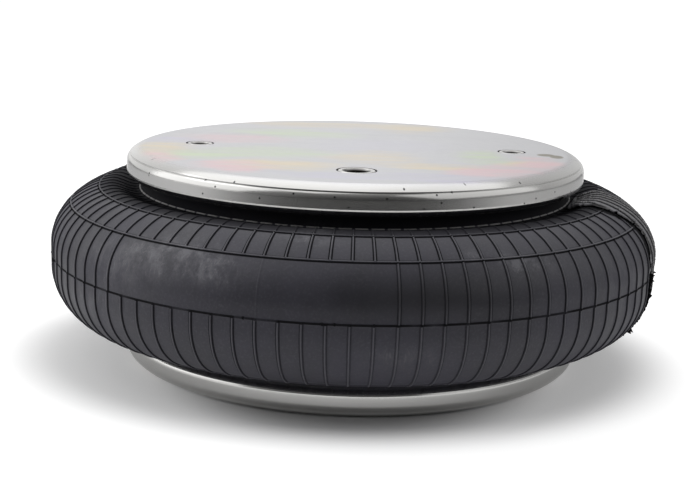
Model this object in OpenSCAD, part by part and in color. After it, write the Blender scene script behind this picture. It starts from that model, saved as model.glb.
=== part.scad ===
// Single-convolution air bellows actuator.
// Two crimped steel bead plates are joined by a cord-reinforced rubber bellows. Compressed air enters
// through the port in the upper plate and drives the plates apart along Z.
// Lengths are in millimetres. The underside of the lower plate is z = 0 and +Z is the way the actuator extends.

/* [Overall] */
// Height over both plates, as the slack bellows stands
overall_h = 106; // [102:0.5:116]
// Outside diameter of the crimped bead plates
plate_d = 229; // [222:1:236]
// Outside diameter of the bellows at its equator
bellows_d = 302; // [298:1:320]

/* [Bead plates] */
// Thickness of the pressed plate steel
sheet_t = 3; // [2.5:0.25:3.5]
// Radius of the broad shoulder between the flat face and the rim
shoulder_r = 11; // [10.5:0.5:14]
// Angle through which the broad shoulder turns down
shoulder_angle = 45; // [38:1:50]
// Radius of the upper edge of the rim
rim_edge_r = 5; // [4:0.25:6]
// Reach of the crimped lip's turn, in from the outside of the rim
lip_turn_r = 5.25; // [4.5:0.25:5.5]
// Height of the crimped lip's turn, up from its lowest edge
lip_turn_h = 4; // [3:0.25:5]
// Width of the press line round the shoulder
press_line_w = 0.9; // [0.6:0.1:1.2]
// Depth of the press line
press_line_depth = 0.45; // [0.3:0.05:0.8]

/* [Mounting nuts] */
// Distance of each blind nut's centre from the outside of the plate
nut_inset = 35.75; // [30:0.25:42]
// Diameter of the nut's shank, which fills the hole in the plate
nut_shank_d = 14.3; // [13:0.1:16]
// Diameter of the collar welded under the plate
nut_collar_d = 19; // [17:0.5:22]
// Height of the collar
nut_collar_h = 4; // [3:0.5:6]
// Depth of the closed end below the plate's outer face
nut_depth = 17; // [16:0.5:20]
// Tapping diameter of the mounting thread
nut_bore_d = 8.5; // [8:0.1:9]
// Depth of the threaded hole
nut_bore_depth = 14; // [11:0.5:15]
// Diameter of the countersink at the mouth of the threaded hole
nut_countersink_d = 10; // [9.5:0.1:11]

/* [Air port] */
// Distance of the port's centre from the outside of the plate
port_inset = 41.5; // [36:0.25:48]
// Diameter of the port's shank, which fills the hole in the plate
port_shank_d = 19; // [18:0.1:20]
// Width across flats of the hexagon welded under the plate
port_hex_w = 27; // [24:0.5:30]
// Depth of the port's inner end below the plate's outer face
port_depth = 16; // [13:0.5:20]
// Tapping diameter of the air thread
port_bore_d = 11.8; // [11:0.1:12.5]
// Diameter of the countersink at the mouth of the air thread
port_countersink_d = 13.8; // [13:0.1:15]

/* [Bellows wall] */
// Thickness of the rubber cover
cover_t = 1.6; // [1.2:0.1:2]
// Thickness of each of the two rubberised cord plies
ply_t = 0.9; // [0.7:0.05:1.1]
// Thickness of the airtight inner liner
liner_t = 1; // [0.8:0.1:1.2]
// Diameter of the steel wire ring in each bead
wire_d = 3.6; // [3:0.1:4]
// Thickness of the bead filler under the wire
filler_t = 0.5; // [0.3:0.1:0.8]
// Room left between rubber and steel
seat_gap = 0.2; // [0.1:0.05:0.3]

/* [Convolution] */
// Height of the mould parting line above the middle of the actuator
equator_lift = 1; // [0:0.5:4]
// Height of the upright band at the equator
equator_band_h = 10; // [6:0.5:14]
// Room between the upper lip and the crown of the bellows
upper_gap = 2.6; // [2:0.1:5]
// Length of the level crown under the upper lip
upper_crown_w = 4.6; // [2:0.1:8]
// Room between the lower lip and the crown of the bellows
lower_gap = 6.3; // [5:0.1:9]
// Radius of the bend from the lower neck into the crown
lower_bend_r = 5; // [3:0.25:6]
// Length of the level crown over the lower lip
lower_crown_w = 12; // [6:0.5:15]

/* [Moulded ribs] */
// Height of the ring ribs
rib_h = 0.5; // [0.3:0.1:0.8]
// Width of the ring ribs
rib_w = 1.4; // [1:0.1:2]
// Angle of the inner ring rib, from the equator towards the crown
inner_rib_turn = 69; // [62:1:80]
// Angle of the outer ring rib, from the equator towards the crown
outer_rib_turn = 42; // [30:1:52]

/* [Hidden] */
$fn = 96;
ARC_STEPS = 9;
CUT = 1;
STEEL = "silver";
BRIGHT_STEEL = "lightgray";
RUBBER = "#2b2b2e";
LINER_RUBBER = "#3a3633";
CORD = "tan";

plate_r = plate_d / 2;
bellows_r = bellows_d / 2;
wire_r = wire_d / 2;
nut_spacing = plate_d - 2 * nut_inset;
port_offset = plate_r - port_inset;

// Bead: the two plies turn round the wire inside the crimped rim
bead_r = plate_r - sheet_t - 2 * ply_t - wire_r - 2 * seat_gap;
hook_r = wire_r + seat_gap;
bead_outer_r = hook_r + 2 * ply_t + liner_t;
shoulder_start_r = plate_r - rim_edge_r * (1 - sin(shoulder_angle)) - shoulder_r * sin(shoulder_angle);
rim_edge_depth = shoulder_r - (shoulder_r - rim_edge_r) * cos(shoulder_angle);
bead_room = shoulder_r - sheet_t - bead_outer_r - seat_gap;
bead_depth = shoulder_r - sqrt(pow(bead_room, 2) - pow(bead_r - shoulder_start_r, 2));
filler_h = hook_r + filler_t;
lip_top_depth = bead_depth + filler_h + seat_gap;
rim_h = lip_top_depth + sheet_t;
neck_r = bead_r - hook_r + cover_t;
lip_r = neck_r + seat_gap;

// Bellows: the crowns, the band at the equator and the quarter ellipses between them
equator_z = overall_h / 2 + equator_lift;
band_top_z = equator_z + equator_band_h / 2;
band_bottom_z = equator_z - equator_band_h / 2;
upper_crown_z = overall_h - rim_h - upper_gap;
lower_crown_z = rim_h + lower_gap;
upper_crown_r = neck_r + upper_gap + upper_crown_w;
lower_crown_r = neck_r + lower_bend_r + lower_crown_w;
upper_bead_z = overall_h - bead_depth;

// Points along an arc from angle a0 to angle a1
function arc(centre, r, a0, a1) =
    [for (i = [0:ARC_STEPS]) let (a = a0 + (a1 - a0) * i / ARC_STEPS) centre + r * [cos(a), sin(a)]];

// The same list of points from its end to its start
function back(points) = [for (i = [len(points) - 1:-1:0]) points[i]];

// Point at angle t on an ellipse, moved out along its normal
function on_ellipse(centre, size, t, out) =
    let (normal = [size[1] * cos(t), size[0] * sin(t)])
    centre + [size[0] * cos(t), size[1] * sin(t)] + out * normal / norm(normal);

// Points along an ellipse from angle t0 to angle t1
function sweep(centre, size, t0, t1, out) =
    [for (i = [0:ARC_STEPS]) on_ellipse(centre, size, t0 + (t1 - t0) * i / ARC_STEPS, out)];

// Half the angle that a ring rib takes up at angle t
function rib_half(size, t) = rib_w / 2 / norm([size[0] * sin(t), size[1] * cos(t)]) * 180 / PI;

// An ellipse that runs through falling angles, with a ring rib at each angle between the first and the last
function ribbed(centre, size, turns, out, rib) =
    let (last = len(turns) - 2)
    [for (i = [0:last]) each concat(
        sweep(centre, size,
            turns[i] - (i > 0 ? rib_half(size, turns[i]) : 0),
            turns[i + 1] + (i < last ? rib_half(size, turns[i + 1]) : 0), out),
        i < last ? [on_ellipse(centre, size, turns[i + 1], out + rib)] : []
    )];

// The bellows wall from the upper neck to the lower neck, at depth d in from its outer skin
function convolution(d, rib = 0) = concat(
    arc([neck_r + upper_gap, overall_h - rim_h], upper_gap + d, 180, 270),
    ribbed([upper_crown_r, band_top_z], [bellows_r - upper_crown_r, upper_crown_z - band_top_z],
        [90, inner_rib_turn, outer_rib_turn, 0], -d, rib),
    [
        [bellows_r - d, equator_z + rib_w / 2],
        [bellows_r - d + rib, equator_z],
        [bellows_r - d, equator_z - rib_w / 2]
    ],
    ribbed([lower_crown_r, band_bottom_z], [bellows_r - lower_crown_r, band_bottom_z - lower_crown_z],
        [0, -outer_rib_turn, -inner_rib_turn, -90], -d, rib),
    arc([neck_r + lower_bend_r, lower_crown_z - lower_bend_r], lower_bend_r + d, 90, 180)
);

// Depth of the inside of the crimped rim at radius r, where it turns in to the lip
function rim_floor(r) =
    let (over = max(r - plate_r + lip_turn_r, 0))
    rim_h - lip_turn_r + sqrt(max(pow(lip_turn_r - sheet_t, 2) - pow(over, 2), 0));

// Length of a ply's end past the wire, for a ply whose outer face is at depth d
function ply_tail(d) = rim_floor(bead_r + hook_r + d - cover_t + seat_gap) - seat_gap - bead_depth;

// A ply or liner at depth d, turned round the wires from angle start, with an end of the given length
function carcass(d, start, tail) =
    let (r = hook_r + d - cover_t, tail_r = bead_r + r * cos(start))
    concat(
        tail > seat_gap ? [[tail_r, upper_bead_z - tail]] : [],
        arc([bead_r, upper_bead_z], r, start, 180),
        convolution(d),
        arc([bead_r, bead_depth], r, 180, 360 - start),
        tail > seat_gap ? [[tail_r, bead_depth + tail]] : []
    );

module carcass_layer(from, to, start, tail) {
    rotate_extrude() polygon(concat(carcass(from, start, tail), back(carcass(to, start, tail))));
}

// Half section of a bead plate with its outer face at height 0 and its depth along +Y
module plate_section() {
    edge_centre = [plate_r - rim_edge_r, rim_edge_depth];
    shoulder_centre = [shoulder_start_r, shoulder_r];
    turn_centre = [plate_r - lip_turn_r, rim_h - lip_turn_r];
    line_angle = shoulder_angle - 90;
    line_half = press_line_w / 2 * 180 / PI;
    lip_edge_r = sheet_t / 2;
    polygon(concat(
        [[0, sheet_t], [0, 0]],
        arc(shoulder_centre, shoulder_r, -90, line_angle - line_half / shoulder_r),
        [shoulder_centre + (shoulder_r - press_line_depth) * [cos(line_angle), sin(line_angle)]],
        arc(edge_centre, rim_edge_r, line_angle + line_half / rim_edge_r, 0),
        sweep([plate_r - lip_turn_r, rim_h - lip_turn_h], [lip_turn_r, lip_turn_h], 0, 90, 0),
        arc([lip_r + lip_edge_r, rim_h - lip_edge_r], lip_edge_r, 90, 270),
        arc(turn_centre, lip_turn_r - sheet_t, 90, 0),
        arc(shoulder_centre, shoulder_r - sheet_t, line_angle, -90)
    ));
}

// A bead plate with its outer face on z = 0 and its depth along +Z
module bead_plate(with_port) {
    color(STEEL) difference() {
        rotate_extrude() plate_section();
        for (side = [-1, 1])
            translate([side * nut_spacing / 2, 0, -CUT]) cylinder(d = nut_shank_d, h = sheet_t + 2 * CUT);
        if (with_port)
            translate([0, -port_offset, -CUT]) cylinder(d = port_shank_d, h = sheet_t + 2 * CUT);
    }
}

// A blind nut with its mouth on z = 0 and its closed end along +Z
module blind_nut() {
    sink = (nut_countersink_d - nut_bore_d) / 2;
    color(BRIGHT_STEEL) difference() {
        union() {
            cylinder(d = nut_shank_d, h = nut_depth - CUT);
            translate([0, 0, nut_depth - CUT]) cylinder(d1 = nut_shank_d, d2 = nut_shank_d - 2 * CUT, h = CUT);
            translate([0, 0, sheet_t]) cylinder(d = nut_collar_d, h = nut_collar_h);
        }
        translate([0, 0, sink]) cylinder(d = nut_bore_d, h = nut_bore_depth - sink);
        cylinder(d1 = nut_countersink_d, d2 = nut_bore_d, h = sink);
    }
}

// The port with its mouth on z = 0 and its inner end along +Z
module port_body() {
    sink = (port_countersink_d - port_bore_d) / 2;
    color(BRIGHT_STEEL) difference() {
        union() {
            cylinder(d = port_shank_d, h = sheet_t);
            translate([0, 0, sheet_t])
                cylinder(d = port_hex_w / cos(30), h = port_depth - sheet_t, $fn = 6);
        }
        translate([0, 0, sink]) cylinder(d = port_bore_d, h = port_depth - sink + CUT);
        cylinder(d1 = port_countersink_d, d2 = port_bore_d, h = sink);
    }
}

module bead_wire() {
    color(BRIGHT_STEEL) rotate_extrude() translate([bead_r, bead_depth]) circle(r = wire_r);
}

// The rubber wedge between the wire and the crimped lip
module bead_filler() {
    color(RUBBER) rotate_extrude() difference() {
        translate([bead_r - wire_r, bead_depth]) square([wire_d, filler_h]);
        translate([bead_r, bead_depth]) circle(r = hook_r);
    }
}

// Puts a piece that is drawn with its outer face down onto the top of the actuator
module on_top() {
    translate([0, 0, overall_h]) mirror([0, 0, 1]) children();
}

module upper_bead_plate() { on_top() bead_plate(true); }
module upper_blind_nut_left() { on_top() translate([-nut_spacing / 2, 0, 0]) blind_nut(); }
module upper_blind_nut_right() { on_top() translate([nut_spacing / 2, 0, 0]) blind_nut(); }
module air_port() { on_top() translate([0, -port_offset, 0]) port_body(); }
module upper_bead_wire() { on_top() bead_wire(); }
module upper_bead_filler() { on_top() bead_filler(); }

module bellows_cover() {
    color(RUBBER) rotate_extrude() polygon(concat(
        [[neck_r, overall_h - lip_top_depth]], convolution(0, rib_h), [[neck_r, lip_top_depth]],
        [[neck_r - cover_t, lip_top_depth]], back(convolution(cover_t)),
        [[neck_r - cover_t, overall_h - lip_top_depth]]
    ));
}

module outer_cord_ply() {
    color(CORD) carcass_layer(cover_t, cover_t + ply_t, 0, ply_tail(cover_t + ply_t));
}

module inner_cord_ply() {
    color(CORD) carcass_layer(cover_t + ply_t, cover_t + 2 * ply_t, 0, ply_tail(cover_t + 2 * ply_t));
}

module inner_liner() {
    plies = cover_t + 2 * ply_t;
    color(LINER_RUBBER) carcass_layer(plies, plies + liner_t, 90, 0);
}

module lower_bead_plate() { bead_plate(false); }
module lower_blind_nut_left() { translate([-nut_spacing / 2, 0, 0]) blind_nut(); }
module lower_blind_nut_right() { translate([nut_spacing / 2, 0, 0]) blind_nut(); }
module lower_bead_wire() { bead_wire(); }
module lower_bead_filler() { bead_filler(); }

upper_bead_plate();
upper_blind_nut_left();
upper_blind_nut_right();
air_port();
upper_bead_wire();
upper_bead_filler();
bellows_cover();
outer_cord_ply();
inner_cord_ply();
inner_liner();
lower_bead_plate();
lower_blind_nut_left();
lower_blind_nut_right();
lower_bead_wire();
lower_bead_filler();
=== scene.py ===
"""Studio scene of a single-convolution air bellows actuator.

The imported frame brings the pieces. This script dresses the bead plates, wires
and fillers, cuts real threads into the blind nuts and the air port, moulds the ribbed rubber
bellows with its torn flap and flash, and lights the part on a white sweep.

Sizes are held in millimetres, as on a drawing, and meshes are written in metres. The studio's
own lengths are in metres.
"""

from __future__ import annotations

import logging
import math
import random
from dataclasses import dataclass
from enum import Enum
from typing import Any, NamedTuple, Sequence

import bmesh
import bpy
import numpy as np
from mathutils import Matrix, Vector

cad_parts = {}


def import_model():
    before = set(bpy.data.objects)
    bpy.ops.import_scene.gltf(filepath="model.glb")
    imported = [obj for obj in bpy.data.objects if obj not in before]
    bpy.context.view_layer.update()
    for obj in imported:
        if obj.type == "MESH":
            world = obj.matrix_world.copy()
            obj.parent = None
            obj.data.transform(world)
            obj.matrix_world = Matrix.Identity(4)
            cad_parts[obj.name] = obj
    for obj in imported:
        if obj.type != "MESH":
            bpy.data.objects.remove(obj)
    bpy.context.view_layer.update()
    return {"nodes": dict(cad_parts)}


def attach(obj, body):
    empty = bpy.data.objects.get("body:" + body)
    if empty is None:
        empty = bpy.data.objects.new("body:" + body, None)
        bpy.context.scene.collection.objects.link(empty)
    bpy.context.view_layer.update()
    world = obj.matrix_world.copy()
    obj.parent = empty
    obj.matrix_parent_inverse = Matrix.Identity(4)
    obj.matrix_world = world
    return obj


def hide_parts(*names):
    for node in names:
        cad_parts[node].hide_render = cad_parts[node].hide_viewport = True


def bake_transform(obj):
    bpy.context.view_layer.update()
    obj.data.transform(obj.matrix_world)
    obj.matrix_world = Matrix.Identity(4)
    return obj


log = logging.getLogger("air_bellows")

MM = 0.001
OVERALL_H = 106.0
Colour = tuple[float, float, float]


class End(Enum):
    """The two ends of the actuator, named after the bodies that carry them."""

    UPPER = "upper"
    LOWER = "lower"


class Hand(Enum):
    """The side of the axis that a blind nut sits on."""

    LEFT = -1
    RIGHT = 1


# Curves and meshes


def arc(centre: Sequence[float], radii: Sequence[float], start: float, stop: float,
        steps: int = 60) -> np.ndarray:
    """Sample an elliptical arc in the radius and height plane.

    Args:
        centre: Radius and height of the arc's centre.
        radii: Half axes along radius and height.
        start: First angle in degrees, from the radius axis.
        stop: Last angle in degrees.
        steps: Number of steps between the two.

    Returns:
        One row of radius and height for each sample.
    """
    turn = np.radians(np.linspace(start, stop, steps + 1))
    return np.stack([centre[0] + radii[0] * np.cos(turn), centre[1] + radii[1] * np.sin(turn)], axis=1)


def smooth(t: np.ndarray) -> np.ndarray:
    """Ease from 0 to 1 over the unit range."""
    t = np.clip(t, 0.0, 1.0)
    return t * t * (3.0 - 2.0 * t)


def spin(curve: np.ndarray, turn: np.ndarray) -> np.ndarray:
    """Carry radius and height to X, Y and Z.

    Args:
        curve: Radius and height of each point, in the last axis.
        turn: Azimuth of each point in radians, from the side of the air port.

    Returns:
        The places, in the curve's unit.
    """
    return np.stack([curve[..., 0] * np.sin(turn), -curve[..., 0] * np.cos(turn),
                     curve[..., 1] * np.ones_like(turn)], axis=-1)


@dataclass(frozen=True)
class Meridian:
    """A dense curve in the radius and height plane, measured along its length."""

    points: np.ndarray

    @property
    def lengths(self) -> np.ndarray:
        """Distance along the curve at each of its points."""
        steps = np.linalg.norm(np.diff(self.points, axis=0), axis=1)
        return np.concatenate([[0.0], np.cumsum(steps)])

    def at(self, along: np.ndarray) -> tuple[np.ndarray, np.ndarray]:
        """Find places on the curve.

        Args:
            along: Distances along the curve.

        Returns:
            The places, and the unit normals that point away from the air chamber.
        """
        lengths = self.lengths
        tangents = np.gradient(self.points, lengths, axis=0)
        place = np.stack([np.interp(along, lengths, self.points[:, i]) for i in (0, 1)], axis=1)
        tangent = np.stack([np.interp(along, lengths, tangents[:, i]) for i in (0, 1)], axis=1)
        normal = np.stack([-tangent[:, 1], tangent[:, 0]], axis=1)
        return place, normal / np.linalg.norm(normal, axis=1, keepdims=True)

    def length_near(self, radius: float, height: float) -> float:
        """Distance along the curve of its point nearest to a place."""
        gap = np.linalg.norm(self.points - np.array([radius, height]), axis=1)
        return float(self.lengths[gap.argmin()])


class MeshStock:
    """Vertices and faces that are gathered shell by shell and made into one object."""

    def __init__(self) -> None:
        """Start with nothing."""
        self.points: list[np.ndarray] = []
        self.faces: list[tuple[int, ...]] = []
        self.count = 0

    def add_grid(self, rings: np.ndarray, rows_closed: bool) -> None:
        """Add a tube of rings, closed round every ring.

        Args:
            rings: Places in millimetres, as rows by columns by three.
            rows_closed: True where the last ring joins the first, False where both ends are capped.
        """
        rows, columns = rings.shape[:2]
        index = self.count + np.arange(rows * columns).reshape(rows, columns)
        upper = index if rows_closed else index[:-1]
        lower = np.roll(index, -1, axis=0) if rows_closed else index[1:]
        quads = np.stack([upper, np.roll(upper, -1, axis=1), np.roll(lower, -1, axis=1), lower], axis=-1)
        self.faces += [tuple(quad) for quad in quads.reshape(-1, 4).tolist()]
        if not rows_closed:
            self.faces.append(tuple(index[0].tolist()))
            self.faces.append(tuple(index[-1][::-1].tolist()))
        self.points.append(rings.reshape(-1, 3))
        self.count += rows * columns

    def make(self, name: str, material: bpy.types.Material, sharp_angle: float) -> bpy.types.Object:
        """Make the gathered shells into an object.

        Args:
            name: Name of the piece.
            material: Finish of the whole piece.
            sharp_angle: Edges that turn through more degrees than this stay crisp.

        Returns:
            The new object, linked to the scene.
        """
        mesh = bpy.data.meshes.new(name)
        mesh.from_pydata((np.concatenate(self.points) * MM).tolist(), [], self.faces)
        mesh.validate()
        turn_outward(mesh)
        mesh.shade_smooth()
        mesh.set_sharp_from_angle(angle=math.radians(sharp_angle))
        mesh.materials.append(material)
        return put(name, mesh)


def turn_outward(mesh: bpy.types.Mesh) -> None:
    """Turn the faces of every closed shell outwards.

    Args:
        mesh: Mesh to change.
    """
    shells = bmesh.new()
    shells.from_mesh(mesh)
    bmesh.ops.recalc_face_normals(shells, faces=shells.faces)
    shells.to_mesh(mesh)
    shells.free()


def put(name: str, data: bpy.types.ID) -> bpy.types.Object:
    """Make an object of a mesh, a lamp or a camera, and link it to the scene.

    Args:
        name: Name of the object.
        data: The mesh, lamp or camera.

    Returns:
        The new object.
    """
    piece = bpy.data.objects.new(name, data)
    bpy.context.scene.collection.objects.link(piece)
    return piece


def store(piece: bpy.types.Object, name: str, values: np.ndarray) -> None:
    """Store one number or vector for each vertex.

    Args:
        piece: Object whose mesh takes the values.
        name: Name of the attribute.
        values: One value or one row of three for each vertex.
    """
    kind, key = ("FLOAT", "value") if values.ndim == 1 else ("FLOAT_VECTOR", "vector")
    attribute = piece.data.attributes.new(name, kind, "POINT")
    attribute.data.foreach_set(key, values.astype(np.float32).ravel())


# Finishes


class NodeGraph:
    """A node tree, with short calls that add and join nodes."""

    def __init__(self, tree: bpy.types.NodeTree) -> None:
        """Take the tree that is added to."""
        self.tree = tree

    def feed(self, socket: bpy.types.NodeSocket, value: Any) -> None:
        """Link an output to a socket, or set the socket to a constant.

        Args:
            socket: The socket to feed.
            value: An output, or a constant that the socket takes.
        """
        if isinstance(value, bpy.types.NodeSocket):
            self.tree.links.new(value, socket)
        else:
            socket.default_value = value

    def add(self, kind: str, inputs: dict[Any, Any], **settings: Any) -> bpy.types.Node:
        """Add a node.

        Args:
            kind: Blender's name for the node type.
            inputs: Constants or outputs for its sockets, by name or number.
            settings: Properties of the node itself.

        Returns:
            The new node.
        """
        node = self.tree.nodes.new(kind)
        for key, value in settings.items():
            setattr(node, key, value)
        for key, value in inputs.items():
            self.feed(node.inputs[key], value)
        return node

    def math(self, operation: str, a: Any, b: Any = 0.0, clamp: bool = False) -> bpy.types.NodeSocket:
        """One sum of two numbers, or of one where the operation takes no more."""
        return self.add("ShaderNodeMath", {0: a, 1: b}, operation=operation, use_clamp=clamp).outputs[0]

    def vector(self, operation: str, inputs: dict[Any, Any]) -> bpy.types.NodeSocket:
        """One sum of vectors."""
        return self.add("ShaderNodeVectorMath", inputs, operation=operation).outputs[0]

    def length(self, vector: bpy.types.NodeSocket) -> bpy.types.NodeSocket:
        """Length of a vector."""
        return self.add("ShaderNodeVectorMath", {0: vector}, operation="LENGTH").outputs["Value"]

    def line(self, value: Any, source: Sequence[float], target: Sequence[float],
             kind: str = "LINEAR") -> bpy.types.NodeSocket:
        """Carry a range over to another one, clamped.

        Args:
            value: The number to carry over.
            source: Lower and upper limit of the range that it comes from.
            target: What those two limits become.
            kind: Blender's name for the way between them.

        Returns:
            The number in the new range.
        """
        return self.add("ShaderNodeMapRange", {
            "Value": value, "From Min": source[0], "From Max": source[1],
            "To Min": target[0], "To Max": target[1],
        }, interpolation_type=kind).outputs["Result"]

    def rays(self) -> tuple[bpy.types.NodeSocket, bpy.types.NodeSocket]:
        """Marks of the rays that come from the camera, and of those that come from metal or glass."""
        path = self.add("ShaderNodeLightPath", {}).outputs
        return path["Is Camera Ray"], self.math("MAXIMUM", path["Is Glossy Ray"], path["Is Transmission Ray"])


class FinishGraph(NodeGraph):
    """A material's node graph, round one plain shader."""

    def __init__(self, name: str) -> None:
        """Start a material with a plain shader.

        Args:
            name: Name of the material.
        """
        self.material = bpy.data.materials.new(name)
        self.material.use_nodes = True
        super().__init__(self.material.node_tree)
        self.shader = self.tree.nodes["Principled BSDF"]
        self.place = self.add("ShaderNodeTexCoord", {}).outputs["Object"]

    def set(self, **inputs: Any) -> None:
        """Set the shader's sockets, with an underscore for a space in a name."""
        for key, value in inputs.items():
            self.feed(self.shader.inputs[key.replace("_", " ")], value)

    def stretched(self, scale: Sequence[float]) -> bpy.types.NodeSocket:
        """Object coordinates in metres, multiplied by a scale for each axis."""
        return self.add("ShaderNodeMapping", {"Vector": self.place, "Scale": scale}).outputs["Vector"]

    def polar(self, per_radius: float, per_turn: float, per_height: float) -> bpy.types.NodeSocket:
        """Coordinates round the actuator's axis.

        Args:
            per_radius: Scale along the radius, per metre.
            per_turn: Scale round the axis, per radian.
            per_height: Scale along the axis, per metre.

        Returns:
            A vector of the three scaled coordinates.
        """
        split = self.add("ShaderNodeSeparateXYZ", {0: self.place}).outputs
        radius = self.math("SQRT", self.math("ADD", self.math("MULTIPLY", split["X"], split["X"]),
                                             self.math("MULTIPLY", split["Y"], split["Y"])))
        turn = self.math("ARCTAN2", split["Y"], split["X"])
        return self.add("ShaderNodeCombineXYZ", {
            "X": self.math("MULTIPLY", radius, per_radius),
            "Y": self.math("MULTIPLY", turn, per_turn),
            "Z": self.math("MULTIPLY", split["Z"], per_height),
        }).outputs["Vector"]

    def radius(self) -> bpy.types.NodeSocket:
        """Distance from the actuator's axis, in metres."""
        return self.add("ShaderNodeSeparateXYZ", {0: self.polar(1.0, 1.0, 1.0)}).outputs["X"]

    def noise(self, where: bpy.types.NodeSocket, scale: float, detail: float = 4.0, rough: float = 0.55,
              bend: float = 0.0) -> bpy.types.NodeSocket:
        """Cloudy noise from 0 to 1."""
        return self.add("ShaderNodeTexNoise", {"Vector": where, "Scale": scale, "Detail": detail,
                                               "Roughness": rough, "Distortion": bend}).outputs["Fac"]

    def attribute(self, name: str) -> bpy.types.NodeSocket:
        """A number that the mesh stores for each vertex."""
        return self.add("ShaderNodeAttribute", {}, attribute_name=name).outputs["Fac"]

    def span(self, value: Any, source: Sequence[float], target: Sequence[float]) -> bpy.types.NodeSocket:
        """Carry a range over to another one, smoothly and clamped."""
        return self.line(value, source, target, "SMOOTHSTEP")

    def mix(self, share: Any, a: Any, b: Any) -> bpy.types.NodeSocket:
        """Mix two colours.

        Args:
            share: Share of the second colour.
            a: First colour.
            b: Second colour.

        Returns:
            The mixed colour.
        """
        node = self.add("ShaderNodeMix", {0: share}, data_type="RGBA")
        for number, colour in ((6, a), (7, b)):
            is_socket = isinstance(colour, bpy.types.NodeSocket)
            self.feed(node.inputs[number], colour if is_socket else (*colour, 1.0))
        return node.outputs[2]

    def bump(self, height: bpy.types.NodeSocket, distance_mm: float, strength: float,
             normal: bpy.types.NodeSocket | None = None) -> bpy.types.NodeSocket:
        """Turn a height into a normal.

        Args:
            height: The height, from 0 to 1.
            distance_mm: What a height of 1 stands for.
            strength: How much of the slope shows.
            normal: A normal from a coarser height below this one.

        Returns:
            The new normal.
        """
        inputs: dict[Any, Any] = {"Height": height, "Distance": distance_mm * MM, "Strength": strength}
        if normal is not None:
            inputs["Normal"] = normal
        return self.add("ShaderNodeBump", inputs).outputs["Normal"]


class FilmTint(Enum):
    """Colours that the passivation takes where its film is thicker."""

    STRAW = (0.70, 0.60, 0.43)
    MOSS = (0.56, 0.65, 0.45)
    ROSE = (0.735, 0.51, 0.54)
    LILAC = (0.55, 0.53, 0.65)
    STAIN = (0.13, 0.10, 0.035)


@dataclass(frozen=True)
class FilmPatch:
    """A cloud of tinted film on a plate's face, in millimetres from the axis."""

    x: float
    y: float
    half_x: float
    half_y: float
    tint: FilmTint
    strength: float = 0.75


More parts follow.
